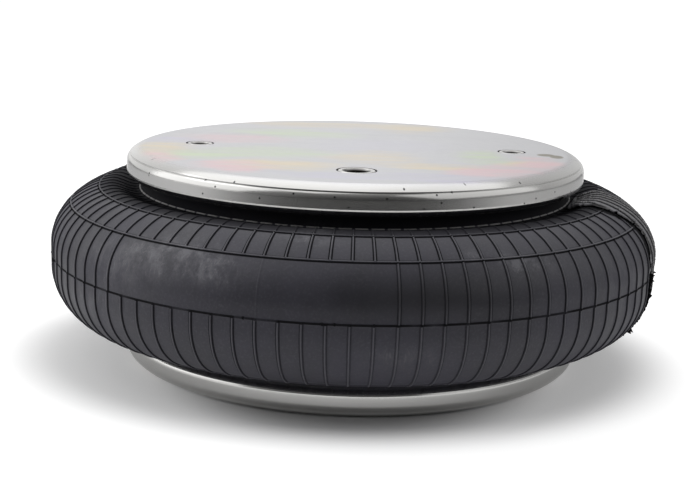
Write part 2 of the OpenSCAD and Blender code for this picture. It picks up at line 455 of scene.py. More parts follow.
@dataclass(frozen=True)
class ZincPlating:
    """Passivated zinc on pressed steel: a grey mirror gone satin, with a rainbow film."""

    name: str = "zinc_plating"
    grey: Colour = (0.575, 0.575, 0.595)
    dull: Colour = (0.46, 0.46, 0.485)
    rim_grey: Colour = (0.64, 0.635, 0.62)
    pit: Colour = (0.05, 0.05, 0.052)
    flat_r_mm: float = 105.3
    rim_r_mm: float = 112.0
    ragged_mm: float = 36.0
    pit_cells_per_mm: float = 0.13
    patches: tuple[FilmPatch, ...] = (
        FilmPatch(-94, -24, 15, 26, FilmTint.STRAW, 1.0), FilmPatch(-39, -61, 24, 15, FilmTint.STRAW, 1.0),
        FilmPatch(-21, 84, 42, 12, FilmTint.STRAW, 0.8), FilmPatch(30, 80, 22, 17, FilmTint.STRAW, 0.8),
        FilmPatch(8, -33, 22, 20, FilmTint.STRAW, 0.7), FilmPatch(40, -57, 26, 8, FilmTint.STRAW, 1.0),
        FilmPatch(79, -40, 12, 11, FilmTint.STRAW, 1.0), FilmPatch(-74, -36, 17, 13, FilmTint.MOSS, 1.0),
        FilmPatch(-42, -25, 28, 16, FilmTint.MOSS, 1.0), FilmPatch(-34, 47, 30, 14, FilmTint.MOSS, 0.8),
        FilmPatch(62, -22, 10, 22, FilmTint.MOSS, 0.9), FilmPatch(-50, -79, 10, 8, FilmTint.ROSE, 1.0),
        FilmPatch(-60, -66, 18, 12, FilmTint.ROSE, 0.9), FilmPatch(-95, -45, 11, 12, FilmTint.ROSE, 0.9),
        FilmPatch(-62, 22, 26, 16, FilmTint.ROSE, 0.6), FilmPatch(54, -69, 12, 14, FilmTint.ROSE, 1.0),
        FilmPatch(86, -38, 9, 20, FilmTint.ROSE, 1.0), FilmPatch(70, -64, 14, 15, FilmTint.ROSE, 1.0),
        FilmPatch(-90, 10, 16, 8, FilmTint.LILAC), FilmPatch(40, -90, 26, 10, FilmTint.LILAC, 0.9),
        FilmPatch(-8, -88, 30, 9, FilmTint.LILAC, 0.6), FilmPatch(15, 10, 30, 22, FilmTint.LILAC, 0.35),
        FilmPatch(94.9, -8.4, 4.6, 4.4, FilmTint.STAIN, 0.9),
        FilmPatch(99.6, -13.6, 3.6, 5.6, FilmTint.STAIN, 0.9),
    )

    def _film(self, graph: FinishGraph) -> bpy.types.NodeSocket:
        """Colour of the faces: grey with a ragged cloud of film at every patch.

        Args:
            graph: The plating's graph.

        Returns:
            The colour, without the rims.
        """
        streaky = graph.stretched((22.0, 34.0, 22.0))
        cloud = graph.add("ShaderNodeTexNoise", {"Vector": streaky, "Scale": 1.0, "Detail": 6.0,
                                                 "Roughness": 0.62}).outputs["Color"]
        pull = graph.vector("SUBTRACT", {0: cloud, 1: (0.5, 0.5, 0.5)})
        pull = graph.vector("SCALE", {0: pull, "Scale": self.ragged_mm * MM})
        ragged = graph.vector("ADD", {0: graph.place, 1: pull})
        wipes = graph.noise(graph.stretched((16.0, 120.0, 20.0)), scale=1.0, detail=6.0, rough=0.65)
        wiped_and_painted_shade = graph.span(wipes, (0.35, 0.62), (0.45, 1.0))
        haze = graph.noise(graph.stretched((1.0, 0.6, 1.0)), scale=9.0, detail=4.0, rough=0.6, bend=0.6)
        colour = graph.mix(graph.span(haze, (0.48, 0.72), (0.0, 0.55)), self.grey, self.dull)
        for patch in self.patches:
            stain = patch.tint is FilmTint.STAIN
            away = graph.length(graph.add("ShaderNodeMapping", {
                "Vector": graph.place if stain else ragged,
                "Location": (-patch.x / patch.half_x, -patch.y / patch.half_y, 0.0),
                "Scale": (1.0 / (patch.half_x * MM), 1.0 / (patch.half_y * MM), 0.0)}).outputs["Vector"])
            if stain:
                share = graph.span(away, (0.75, 1.1), (patch.strength, 0.0))
            else:
                share = graph.math("MULTIPLY", graph.span(away, (0.35, 1.5), (patch.strength, 0.0)), wiped_and_painted_shade)
            colour = graph.mix(share, colour, patch.tint.value)
        return colour

    def _pits(self, graph: FinishGraph) -> bpy.types.NodeSocket:
        """Small dark pits, scattered round the rims.

        Args:
            graph: The plating's graph.

        Returns:
            1 in a pit, and 0 elsewhere.
        """
        split = graph.add("ShaderNodeSeparateXYZ", {
            0: graph.polar(0.0, self.rim_r_mm * self.pit_cells_per_mm, self.pit_cells_per_mm / MM)}).outputs
        flat = graph.add("ShaderNodeCombineXYZ", {"X": split["Y"], "Y": split["Z"]}).outputs["Vector"]
        cells = graph.add("ShaderNodeTexVoronoi", {"Vector": flat, "Scale": 1.0}, voronoi_dimensions="2D")
        lot = graph.add("ShaderNodeSeparateColor", {0: cells.outputs["Color"]}).outputs[0]
        chosen = graph.span(lot, (0.55, 0.57), (0.0, 1.0))
        return graph.math("MULTIPLY", graph.span(cells.outputs["Distance"], (0.03, 0.08), (1.0, 0.0)), chosen)

    def make(self) -> bpy.types.Material:
        """Build the material.

        Returns:
            The material, ready for a piece.
        """
        graph = FinishGraph(self.name)
        on_rim = graph.span(graph.radius(), (self.flat_r_mm * MM, self.rim_r_mm * MM), (0.0, 1.0))
        smear = graph.noise(graph.stretched((14.0, 90.0, 20.0)), scale=1.0, detail=6.0, rough=0.6)
        face = graph.mix(graph.span(smear, (0.45, 0.75), (0.0, 0.2)), self._film(graph), self.dull)
        colour = graph.mix(on_rim, face, self.rim_grey)
        height = graph.add("ShaderNodeSeparateXYZ", {0: graph.place}).outputs["Z"]
        pitted = graph.math("MULTIPLY", on_rim, graph.span(height, (0.04, 0.05), (0.0, 1.0)))
        colour = graph.mix(graph.math("MULTIPLY", self._pits(graph), pitted), colour, self.pit)
        drawn = graph.noise(graph.polar(260.0, 5.0, 260.0), scale=1.0, detail=5.0, rough=0.6)
        brushed = graph.noise(graph.polar(20.0, 260.0, 30.0), scale=1.0, detail=4.0, rough=0.6)
        grain = graph.math("ADD", graph.math("MULTIPLY", drawn, 0.6), graph.math("MULTIPLY", brushed, 0.4))
        rough = graph.math("ADD", graph.span(grain, (0.35, 0.65), (-0.02, 0.02)),
                           graph.span(on_rim, (0.0, 1.0), (0.30, 0.18)))
        dimple = graph.noise(graph.place, scale=55.0, detail=3.0)
        normal = graph.bump(dimple, distance_mm=0.25, strength=0.10)
        normal = graph.bump(grain, distance_mm=0.012, strength=0.25, normal=normal)
        graph.set(Base_Color=colour, Metallic=1.0, Roughness=rough, Normal=normal)
        return graph.material


@dataclass(frozen=True)
class TurnedSteel:
    """Zinc plated turned steel, with fine tool lines and painted shade deep in its bores and grooves."""

    name: str = "turned_steel"
    bright: Colour = (0.70, 0.69, 0.68)
    dull: Colour = (0.50, 0.49, 0.48)
    painted_recess_shade: Colour = (0.030, 0.028, 0.026)

    def make(self) -> bpy.types.Material:
        """Build the material.

        Returns:
            The material, ready for a piece.
        """
        graph = FinishGraph(self.name)
        blotch = graph.noise(graph.place, scale=160.0, detail=4.0)
        lines = graph.noise(graph.stretched((40.0, 40.0, 2600.0)), scale=1.0, detail=2.0)
        colour = graph.mix(graph.span(blotch, (0.35, 0.68), (0.0, 1.0)), self.bright, self.dull)
        # Painted shade where the mesh's deep share is high: deep in the bore and in the weld groove.
        graph.set(Base_Color=graph.mix(graph.attribute("deep"), colour, self.painted_recess_shade),
                  Metallic=1.0, Roughness=graph.span(lines, (0.3, 0.7), (0.22, 0.36)),
                  Normal=graph.bump(lines, distance_mm=0.02, strength=0.4))
        return graph.material


@dataclass(frozen=True)
class MouldedRubber:
    """Black cover rubber from the mould: charcoal, semi-matte and lightly dusted, with painted shade and
    painted highlight where the mesh marks them.
    """

    name: str = "moulded_rubber"
    black: Colour = (0.0085, 0.0085, 0.0100)
    charcoal: Colour = (0.0510, 0.0488, 0.0690)
    darkening: Colour = (0.0245, 0.0235, 0.0340)
    dust: Colour = (0.165, 0.163, 0.185)
    chalk: Colour = (0.55, 0.54, 0.53)

    def make(self) -> bpy.types.Material:
        """Build the material.

        Returns:
            The material, ready for a piece.
        """
        graph = FinishGraph(self.name)
        cloud = graph.noise(graph.place, scale=22.0, detail=5.0, rough=0.6)
        speck = graph.noise(graph.place, scale=900.0, detail=3.0, rough=0.6)
        colour = graph.mix(graph.span(cloud, (0.3, 0.7), (0.1, 1.0)), self.darkening, self.charcoal)
        patch = graph.noise(graph.polar(160.0, 18.0, 70.0), scale=1.0, detail=6.0, rough=0.68)
        wear_and_shade_cut = graph.math("MULTIPLY", graph.attribute("scuff"),
                          graph.span(patch, (0.36, 0.70), (0.0, 1.0)), True)
        wander = graph.noise(graph.polar(120.0, 34.0, 75.0), scale=1.0, detail=2.0, rough=0.5, bend=1.5)
        off_line = graph.math("ABSOLUTE", graph.math("SUBTRACT", wander, 0.5))
        line = graph.span(off_line, (0.0, 0.022), (1.0, 0.0))
        scratch = graph.math("MULTIPLY", graph.math("MULTIPLY", line, graph.attribute("scuff")),
                             graph.span(patch, (0.42, 0.60), (0.0, 0.9)), True)
        haze = graph.span(speck, (0.45, 0.8), (0.0, 0.18))
        paling = graph.math("ADD", wear_and_shade_cut, graph.math("ADD", scratch, haze), True)
        # Paler rib and ring crests; on the flap the crest share is painted highlight.
        paling = graph.math("ADD", paling, graph.math("MULTIPLY", graph.attribute("crest"), 0.42), True)
        paling = graph.math("ADD", paling, graph.math("MULTIPLY", graph.attribute("dust"), 0.06), True)
        colour = graph.mix(paling, colour, self.dust)
        # Painted shade: the mesh's dark patches and its painted shade share darken the colour towards black.
        colour = graph.mix(graph.attribute("clean"), colour, self.black)
        colour = graph.mix(graph.attribute("groove"), colour, self.black)
        # Pale dashes on the neck's ring, and painted highlight on the flap's ribs and torn edge.
        colour = graph.mix(graph.attribute("chalk"), colour, self.chalk)
        grain = graph.noise(graph.place, scale=1500.0, detail=3.0, rough=0.6)
        weave = graph.noise(graph.polar(200.0, 120.0, 300.0), scale=1.0, detail=3.0, rough=0.6)
        normal = graph.bump(cloud, distance_mm=0.5, strength=0.15)
        normal = graph.bump(weave, distance_mm=0.06, strength=0.30, normal=normal)
        normal = graph.bump(grain, distance_mm=0.04, strength=0.35, normal=normal)
        # Where shade is painted the rubber is also rougher and has a lower specular level.
        rough = graph.math("ADD", graph.span(cloud, (0.3, 0.7), (0.44, 0.58)),
                           graph.math("MULTIPLY", graph.attribute("groove"), 0.3))
        graph.set(Base_Color=colour, Roughness=rough, Normal=normal,
                  Specular_IOR_Level=graph.span(graph.attribute("groove"), (0.0, 1.0), (0.5, 0.1)))
        return graph.material


@dataclass(frozen=True)
class PlainRubber:
    """Rubber that is out of sight in the bead or on the air side."""

    name: str
    deep: Colour
    pale: Colour

    def make(self) -> bpy.types.Material:
        """Build the material.

        Returns:
            The material, ready for a piece.
        """
        graph = FinishGraph(self.name)
        cloud = graph.noise(graph.place, scale=60.0, detail=4.0)
        graph.set(Base_Color=graph.mix(cloud, self.deep, self.pale), Roughness=0.62,
                  Normal=graph.bump(cloud, distance_mm=0.2, strength=0.3))
        return graph.material


@dataclass(frozen=True)
class CordPly:
    """Tyre cord in a rubber skim: fine slanted cords round the axis."""

    name: str = "cord_ply"
    cord: Colour = (0.36, 0.28, 0.19)
    skim: Colour = (0.10, 0.085, 0.07)
    cords_per_radian: float = 110.0
    slant_per_metre: float = 900.0

    def make(self) -> bpy.types.Material:
        """Build the material.

        Returns:
            The material, ready for a piece.
        """
        graph = FinishGraph(self.name)
        split = graph.add("ShaderNodeSeparateXYZ", {
            0: graph.polar(0.0, self.cords_per_radian, self.slant_per_metre)}).outputs
        wave = graph.math("SINE", graph.math("ADD", split["Y"], split["Z"]))
        fuzz = graph.noise(graph.place, scale=700.0)
        share = graph.span(graph.math("ADD", wave, fuzz), (-0.4, 1.2), (0.0, 1.0))
        graph.set(Base_Color=graph.mix(share, self.skim, self.cord), Roughness=0.8,
                  Normal=graph.bump(wave, distance_mm=0.15, strength=0.8))
        return graph.material


@dataclass(frozen=True)
class BrassedWire:
    """The brassed wire of the bead rings."""

    name: str = "brassed_wire"
    brass: Colour = (0.62, 0.50, 0.30)
    steel: Colour = (0.52, 0.50, 0.46)

    def make(self) -> bpy.types.Material:
        """Build the material.

        Returns:
            The material, ready for a piece.
        """
        graph = FinishGraph(self.name)
        wear_and_shade_cut = graph.noise(graph.place, scale=90.0)
        graph.set(Base_Color=graph.mix(wear_and_shade_cut, self.brass, self.steel), Metallic=1.0, Roughness=0.34,
                  Normal=graph.bump(wear_and_shade_cut, distance_mm=0.05, strength=0.4))
        return graph.material


# Steel pieces


@dataclass
class BeadPlates:
    """The two pressed plates, and the wire rings and rubber fillers that their crimped rims hold."""

    zinc: ZincPlating
    wire: BrassedWire
    filler: PlainRubber

    def dress(self, nodes: dict[str, bpy.types.Object]) -> None:
        """Give the plates, wires and fillers their finishes.

        Args:
            nodes: The frame's objects by name.
        """
        finishes = {"bead_plate": self.zinc.make(), "bead_wire": self.wire.make(),
                    "bead_filler": self.filler.make()}
        for end in End:
            for piece, material in finishes.items():
                name = f"{end.value}_{piece}"
                for slot in nodes[name].material_slots:
                    slot.material = material
                log.info("dressed %s", name)


@dataclass(frozen=True)
class ScrewThread:
    """An inside thread, cut into a bore of its tapping size."""

    tapping_d: float
    major_d: float
    pitch: float
    crest_share: float = 0.25
    root_share: float = 0.125
    runout: float = 1.0

    def radius(self, turn: np.ndarray, depth: np.ndarray, first: float, last: float) -> np.ndarray:
        """Radius of the bore's wall.

        Args:
            turn: Angles round the bore in radians.
            depth: Depths below the mouth.
            first: Depth at which the thread begins.
            last: Depth at which it ends.

        Returns:
            A radius for each pair of depth and angle.
        """
        phase = np.mod(depth / self.pitch - turn / (2.0 * math.pi), 1.0)
        flank = (1.0 - self.crest_share - self.root_share) / 2.0
        from_crest = np.abs(phase - 0.5)
        cut = np.clip((0.5 - self.crest_share / 2.0 - from_crest) / flank, 0.0, 1.0)
        fade_in = np.clip((depth - first) / self.runout, 0.0, 1.0)
        fade = fade_in * np.clip((last - depth) / self.runout, 0.0, 1.0)
        return self.tapping_d / 2.0 + cut * fade * (self.major_d - self.tapping_d) / 2.0


@dataclass(frozen=True)
class ThreadedInsert:
    """A steel body welded into a plate: its outside, its mouth and its threaded bore."""

    thread: ScrewThread
    outside: tuple[tuple[float, float], ...]
    countersink_d: float
    bore_depth: float
    through: bool
    hexagon_w: float = 0.0
    hexagon_from: float = 0.0
    groove_w: float = 0.85
    groove_depth: float = 1.3
    edge_break: float = 0.25
    shade_from: float = 0.3
    shade_over: float = 0.7
    groove_shade: float = 0.9
    bore_slack: float = 0.01
    sharp_angle: float = 28.0
    segments: int = 96
    rows_per_mm: int = 10

    def rings(self) -> np.ndarray:
        """Rings of the insert from its inner end, over its outside and down its bore.

        Returns:
            Places with the mouth at height 0 and the depth downwards.
        """
        turn = np.linspace(0.0, 2.0 * math.pi, self.segments, endpoint=False)
        shank_r = self.outside[0][0]
        sink = (self.countersink_d - self.thread.tapping_d) / 2.0
        land_r = shank_r - self.groove_w
        profile = [*reversed(self.outside), (shank_r, self.groove_depth), (land_r, self.groove_depth),
                   (land_r, self.edge_break), (land_r - self.edge_break, 0.0),
                   (self.countersink_d / 2.0, 0.0)]
        ring_r = [self._outline(radius, depth, turn) for radius, depth in profile]
        ring_d = [depth for _, depth in profile]
        depths = np.linspace(sink, self.bore_depth, int((self.bore_depth - sink) * self.rows_per_mm))
        for depth in depths:
            ring_r.append(self.thread.radius(turn, np.full_like(turn, depth), sink, self.bore_depth))
            ring_d.append(depth)
        radius = np.array(ring_r)
        height = -np.array(ring_d)[:, None] * np.ones_like(radius)
        return np.stack([radius * np.cos(turn), radius * np.sin(turn), height], axis=-1)

    def _outline(self, radius: float, depth: float, turn: np.ndarray) -> np.ndarray:
        """Round outline, or a hexagon where the insert has one.

        Args:
            radius: Radius of the outline, or of the hexagon's corners.
            depth: Depth below the mouth.
            turn: Angles round the axis in radians.

        Returns:
            The outline's radius at each angle.
        """
        if self.hexagon_w <= 0.0 or depth < self.hexagon_from or radius < self.hexagon_w / 2.0:
            return np.full_like(turn, radius)
        sector = math.pi / 3.0
        return self.hexagon_w / 2.0 / np.cos(np.mod(turn, sector) - sector / 2.0)

    def make(self, name: str, place: Sequence[float], end: End,
             material: bpy.types.Material) -> bpy.types.Object:
        """Make the insert in place of its frame node.

        Args:
            name: Name of the frame node that it stands for.
            place: X and Y of its axis.
            end: The plate that carries it.
            material: Its finish.

        Returns:
            The new piece, riding on the plate's body.
        """
        rings = self.rings()
        depth = -rings[..., 2]
        in_bore = np.hypot(rings[..., 0], rings[..., 1]) < self.thread.major_d / 2.0 + self.bore_slack
        in_groove = np.isclose(depth, self.groove_depth)
        # Painted shade: rises with depth down the bore, and is high in the weld groove.
        deep = np.where(in_bore, smooth((depth - self.shade_from) / self.shade_over),
                        np.where(in_groove, self.groove_shade, 0.0))
        if end is End.UPPER:
            rings[..., 2] += OVERALL_H
        else:
            rings[..., 2] *= -1.0
        rings[..., 0] += place[0]
        rings[..., 1] += place[1]
        stock = MeshStock()
        stock.add_grid(rings, self.through)
        piece = stock.make(f"{name}_threaded", material, self.sharp_angle)
        store(piece, "deep", deep.ravel())
        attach(piece, end.value)
        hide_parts(name)
        log.info("made %s with %d vertices", piece.name, len(piece.data.vertices))
        return piece


@dataclass
class Inserts:
    """The four blind nuts and the air port."""

    steel: TurnedSteel
    nut_spacing: float = 157.5
    port_offset: float = 73.0

    def nut(self) -> ThreadedInsert:
        """The blind nut: a shank through the plate, a welded collar and a closed end.

        Returns:
            The nut's sizes.
        """
        return ThreadedInsert(
            ScrewThread(tapping_d=8.5, major_d=10.0, pitch=1.5),
            outside=((7.15, 3.0), (9.5, 3.0), (9.5, 7.0), (7.15, 7.0), (7.15, 16.0), (6.15, 17.0)),
            countersink_d=10.0, bore_depth=14.0, through=False)

    def port(self) -> ThreadedInsert:
        """The air port: a shank through the plate and a welded hexagon, bored right through.

        Returns:
            The port's sizes.
        """
        return ThreadedInsert(
            ScrewThread(tapping_d=11.8, major_d=13.16, pitch=1.337),
            outside=((9.5, 3.0), (15.6, 3.0), (15.6, 16.0), (5.9, 16.0)),
            countersink_d=13.8, bore_depth=16.0, through=True, hexagon_w=27.0, hexagon_from=3.0)

    def make(self) -> None:
        """Make all five."""
        material = self.steel.make()
        for end in End:
            for hand in Hand:
                self.nut().make(f"{end.value}_blind_nut_{hand.name.lower()}",
                                (hand.value * self.nut_spacing / 2.0, 0.0), end, material)
        self.port().make("air_port", (0.0, -self.port_offset), End.UPPER, material)


# Rubber bellows


@dataclass(frozen=True)
class RingRib:
    """A moulded ring, by its place on the skin, its height, how pale its crest is made, and how much painted
    shade darkens it.
    """

    radius: float
    height: float
    rise: float
    chalk: float = 0.0
    darkening: float = 0.0


class RingLines(NamedTuple):
    """Distances along the skin at which the moulded rings lie."""

    neck: float
    inner: float
    outer: float
    equator: float
    crown: float


@dataclass(frozen=True)
class WallSection:
    """The half section of the rubber wall between the plates, in radius and height."""

    overall_h: float = OVERALL_H
    rim_h: float = 14.707
    lip_top_depth: float = 11.707
    neck_r: float = 107.1
    upper_gap: float = 2.6
    upper_crown_r: float = 114.3
    lower_bend_r: float = 5.0
    lower_crown_r: float = 124.1
    lower_crown_z: float = 21.007
    equator_r: float = 151.0
    equator_z: float = 54.0
    band_half: float = 5.0
    valley_z: float = 84.8
    valley_bend_r: float = 3.0
    crest_turn: float = 76.0
    inner_rib_turn: float = 69.0
    outer_rib_turn: float = 42.0
    bead_r: float = 107.5
    bead_depth: float = 9.007
    hook_r: float = 2.0
    cover_t: float = 1.6

    @property
    def upper_lip_z(self) -> float:
        """Height of the upper rim's lowest edge."""
        return self.overall_h - self.rim_h

    @property
    def upper_half(self) -> tuple[float, float]:
        """Half axes of the bulge above its level band."""
        crown_z = self.upper_lip_z - self.upper_gap
        return self.equator_r - self.upper_crown_r, crown_z - self.equator_z - self.band_half

    @property
    def lower_half(self) -> tuple[float, float]:
        """Half axes of the bulge below its level band."""
        return self.equator_r - self.lower_crown_r, self.equator_z - self.band_half - self.lower_crown_z

    def above(self, start: float, stop: float, steps: int = 60) -> np.ndarray:
        """Arc of the bulge above its level band, between two angles in degrees."""
        return arc((self.upper_crown_r, self.equator_z + self.band_half), self.upper_half, start, stop, steps)

    def below(self, start: float, stop: float, steps: int = 60) -> np.ndarray:
        """Arc of the bulge below its level band, between two angles in degrees."""
        return arc((self.lower_crown_r, self.equator_z - self.band_half), self.lower_half, start, stop, steps)

    def skin(self) -> Meridian:
        """The outer skin from inside the upper crimp to inside the lower one.

        Returns:
            The skin's meridian.
        """
        bend = self.lower_bend_r
        return Meridian(np.concatenate([
            [[self.neck_r, self.overall_h - self.lip_top_depth], [self.neck_r, self.upper_lip_z]],
            self._valley(),
            self.above(self.crest_turn, 0.0),
            [[self.equator_r, self.equator_z]],
            self.below(0.0, -90.0),
            arc((self.neck_r + bend, self.lower_crown_z - bend), (bend, bend), 90.0, 180.0, 16),
            [[self.neck_r, self.lip_top_depth]],
        ]))

    def _valley(self) -> np.ndarray:
        """The hollow under the upper rim, from the neck to just before the crest of the bulge.

        Returns:
            One row of radius and height for each point.
        """
        bend = self.valley_bend_r
        turned = arc((self.neck_r + bend, self.valley_z + bend), (bend, bend), 180.0, 270.0, 12)
        crest = self.above(self.crest_turn, self.crest_turn, 1)[0]
        turn = math.radians(self.crest_turn)
        leave = np.array([self.upper_half[0] * math.sin(turn), -self.upper_half[1] * math.cos(turn)])
        reach = crest[0] - turned[-1, 0]
        t = np.linspace(0.0, 1.0, 25)[1:-1, None]
        start, stop = np.array([reach, 0.0]), leave / np.linalg.norm(leave) * reach
        rising = ((2 * t**3 - 3 * t**2 + 1) * turned[-1] + (t**3 - 2 * t**2 + t) * start
                  + (3 * t**2 - 2 * t**3) * crest + (t**3 - t**2) * stop)
        return np.concatenate([turned, rising])

    def rings(self) -> list[RingRib]:
        """The moulded rings: at the neck, two on the shoulder, at the equator and at the lower crown.

        Returns:
            The rings from the top downwards.
        """
        bend = self.valley_bend_r * (1.0 - math.sqrt(0.5))
        shoulder = [self.above(turn, turn, 1)[0] for turn in (self.inner_rib_turn, self.outer_rib_turn)]
        crown = self.below(-self.inner_rib_turn, -self.inner_rib_turn, 1)[0]
        return [
            RingRib(self.neck_r + bend, self.valley_z + bend, rise=0.25, chalk=0.6),
            *(RingRib(*place, rise=0.5) for place in shoulder),
            # The equator's ring is painted dark all across, as painted shade along the parting line.
            RingRib(self.equator_r, self.equator_z, rise=0.32, darkening=1.0),
            RingRib(*crown, rise=0.45),
        ]

    def lines(self) -> RingLines:
        """Where the moulded rings lie along the skin."""
        skin = self.skin()
        return RingLines(*(skin.length_near(ring.radius, ring.height) for ring in self.rings()))

    def carcass(self, depth: float, start: float, tail: float) -> np.ndarray:
        """Half section of one face of a ply or of the liner, turned round both bead wires.

        Args:
            depth: Depth of the face under the skin.
            start: Angle round the wire at which it ends, in degrees.
            tail: Length of the straight end past the wire.

        Returns:
            One row of radius and height for each point, from the upper end to the lower one.
        """
        skin = self.skin()
        lengths = skin.lengths
        place, normal = skin.at(np.linspace(lengths[1], lengths[-2], 60))
        turn_r = self.hook_r + depth - self.cover_t
        upper_bead = (self.bead_r, self.overall_h - self.bead_depth)
        lower_bead = (self.bead_r, self.bead_depth)
        end_r = self.bead_r + turn_r * math.cos(math.radians(start))
        upper_tail, lower_tail = [[end_r, upper_bead[1] - tail]], [[end_r, lower_bead[1] + tail]]
        return np.concatenate([
            *([upper_tail] if tail > 0.0 else []),
            arc(upper_bead, (turn_r, turn_r), start, 180.0, 12),
            place - depth * normal,
            arc(lower_bead, (turn_r, turn_r), 180.0, 360.0 - start, 12),
            *([lower_tail] if tail > 0.0 else []),
        ])


@dataclass(frozen=True)
class StrokeRoll:
    """How the wall rolls as the plates move."""

    section: WallSection
    low: float = -55.0
    high: float = 49.0
    roll_from_r: float = 112.0
    roll_to_r: float = 135.0
    squeezed_height_share: float = 0.66
    squeezed_growth: float = 0.20
    stretched_share: float = 0.40
    blend_margin: float = 8.0

    def limits(self) -> tuple[tuple[str, float], ...]:
        """Name of the stored roll, and the stroke, at each end."""
        return ("roll_in", self.low), ("roll_out", self.high)

    def shape(self, points: np.ndarray, stroke: float) -> np.ndarray:
        """Shape of the wall with the upper plate moved.

        Args:
            points: Places at rest, in millimetres.
            stroke: Movement of the upper plate, upwards.

        Returns:
            The places at that stroke.
        """
        wall = self.section
        radius = np.hypot(points[:, 0], points[:, 1])
        height = points[:, 2]
        share = np.clip((height - wall.rim_h) / (wall.upper_lip_z - wall.rim_h), 0.0, 1.0)
        even = height + stroke * share
        beyond = np.maximum(radius - wall.neck_r, 0.0)
        if stroke < 0.0:
            middle = wall.overall_h / 2.0
            rolled = middle + stroke / 2.0 + (height - middle) * self.squeezed_height_share
            outside = smooth((radius - self.roll_from_r) / (self.roll_to_r - self.roll_from_r))
            new_height = even + (rolled - even) * outside
            new_radius = radius + beyond * self.squeezed_growth
        else:
            new_height = even
            new_radius = radius - beyond * (1.0 - self.stretched_share)
        scale = new_radius / radius
        return np.stack([points[:, 0] * scale, points[:, 1] * scale, new_height], axis=1)

    def settle(self, piece: bpy.types.Object, points: np.ndarray, node: str) -> bpy.types.Object:
        """Let a layer roll as the plates move: store its roll at both ends of the stroke, and add nodes that
        apply it.

        The layer follows the plates by a smooth share. That share alone would fold it sharply, so the mesh
        The mesh stores how far its rolled shape lies, at each end of the stroke, from a shape that follows
        the plates by a smooth share, which alone would fold it sharply.

        Args:
            piece: The finished layer.
            points: Its places at rest, in millimetres.
            node: Frame node that it stands for.

        Returns:
            The same piece.
        """
        low, high = self.blend_margin, self.section.overall_h - self.blend_margin
        share = smooth((points[:, 2] - low) / (high - low))
        store(piece, "rest_height", points[:, 2] * MM)
        for name, stroke in self.limits():
            followed = points + share[:, None] * np.array([0.0, 0.0, stroke])
            store(piece, name, (self.shape(points, stroke) - followed) * MM)
        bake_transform(piece)
        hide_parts(node)
        modifier = piece.modifiers.new("roll", "NODES")
        modifier.node_group = self._nodes()
        log.info("made %s with %d vertices", piece.name, len(piece.data.vertices))
        return piece

    def _nodes(self) -> bpy.types.NodeTree:
        """Nodes that measure the stroke from the mesh and add the stored roll, none at rest.

        Returns:
            One tree, which all layers share.
        """
        name = "roll_with_stroke"
        if name in bpy.data.node_groups:
            return bpy.data.node_groups[name]
        graph = NodeGraph(bpy.data.node_groups.new(name, "GeometryNodeTree"))
        for direction in ("INPUT", "OUTPUT"):
            graph.tree.interface.new_socket("Geometry", in_out=direction, socket_type="NodeSocketGeometry")

        def stored(attribute: str, kind: str) -> bpy.types.NodeSocket:
            """Read an attribute of the mesh."""
            return graph.add("GeometryNodeInputNamedAttribute", {"Name": attribute},
                             data_type=kind).outputs["Attribute"]

        geometry = graph.add("NodeGroupInput", {}).outputs["Geometry"]
        place = graph.add("GeometryNodeInputPosition", {}).outputs[0]
        height = graph.add("ShaderNodeSeparateXYZ", {0: place}).outputs["Z"]
        moved = graph.math("SUBTRACT", height, stored("rest_height", "FLOAT"))
        found = graph.add("GeometryNodeAttributeStatistic", {"Geometry": geometry, "Attribute": moved},
                          data_type="FLOAT").outputs
        stroke = graph.math("ADD", found["Min"], found["Max"])
        rolls = []
        for attribute, limit in self.limits():
            share = graph.math("DIVIDE", stroke, limit * MM, clamp=True)
            rolls.append(graph.vector("SCALE", {0: stored(attribute, "FLOAT_VECTOR"), "Scale": share}))
        offset = graph.vector("ADD", {0: rolls[0], 1: rolls[1]})
        shaped = graph.add("GeometryNodeSetPosition", {"Geometry": geometry, "Offset": offset})
        graph.add("NodeGroupOutput", {"Geometry": shaped.outputs["Geometry"]})
        return graph.tree


@dataclass(frozen=True)
class SkinMark:
    """A soft mark on the skin, by azimuth and height: a rub, a paler zone or a patch of painted shade."""

    azimuth: float
    height: float
    half_turn: float
    half_height: float
    strength: float


class FlapCorner(NamedTuple):
    """A corner of the flap's torn edge: its place behind the edge, its share of the rise, and its marks."""

    offset: float
    share: float
    sunk: float
    groove: float
    chalk: float


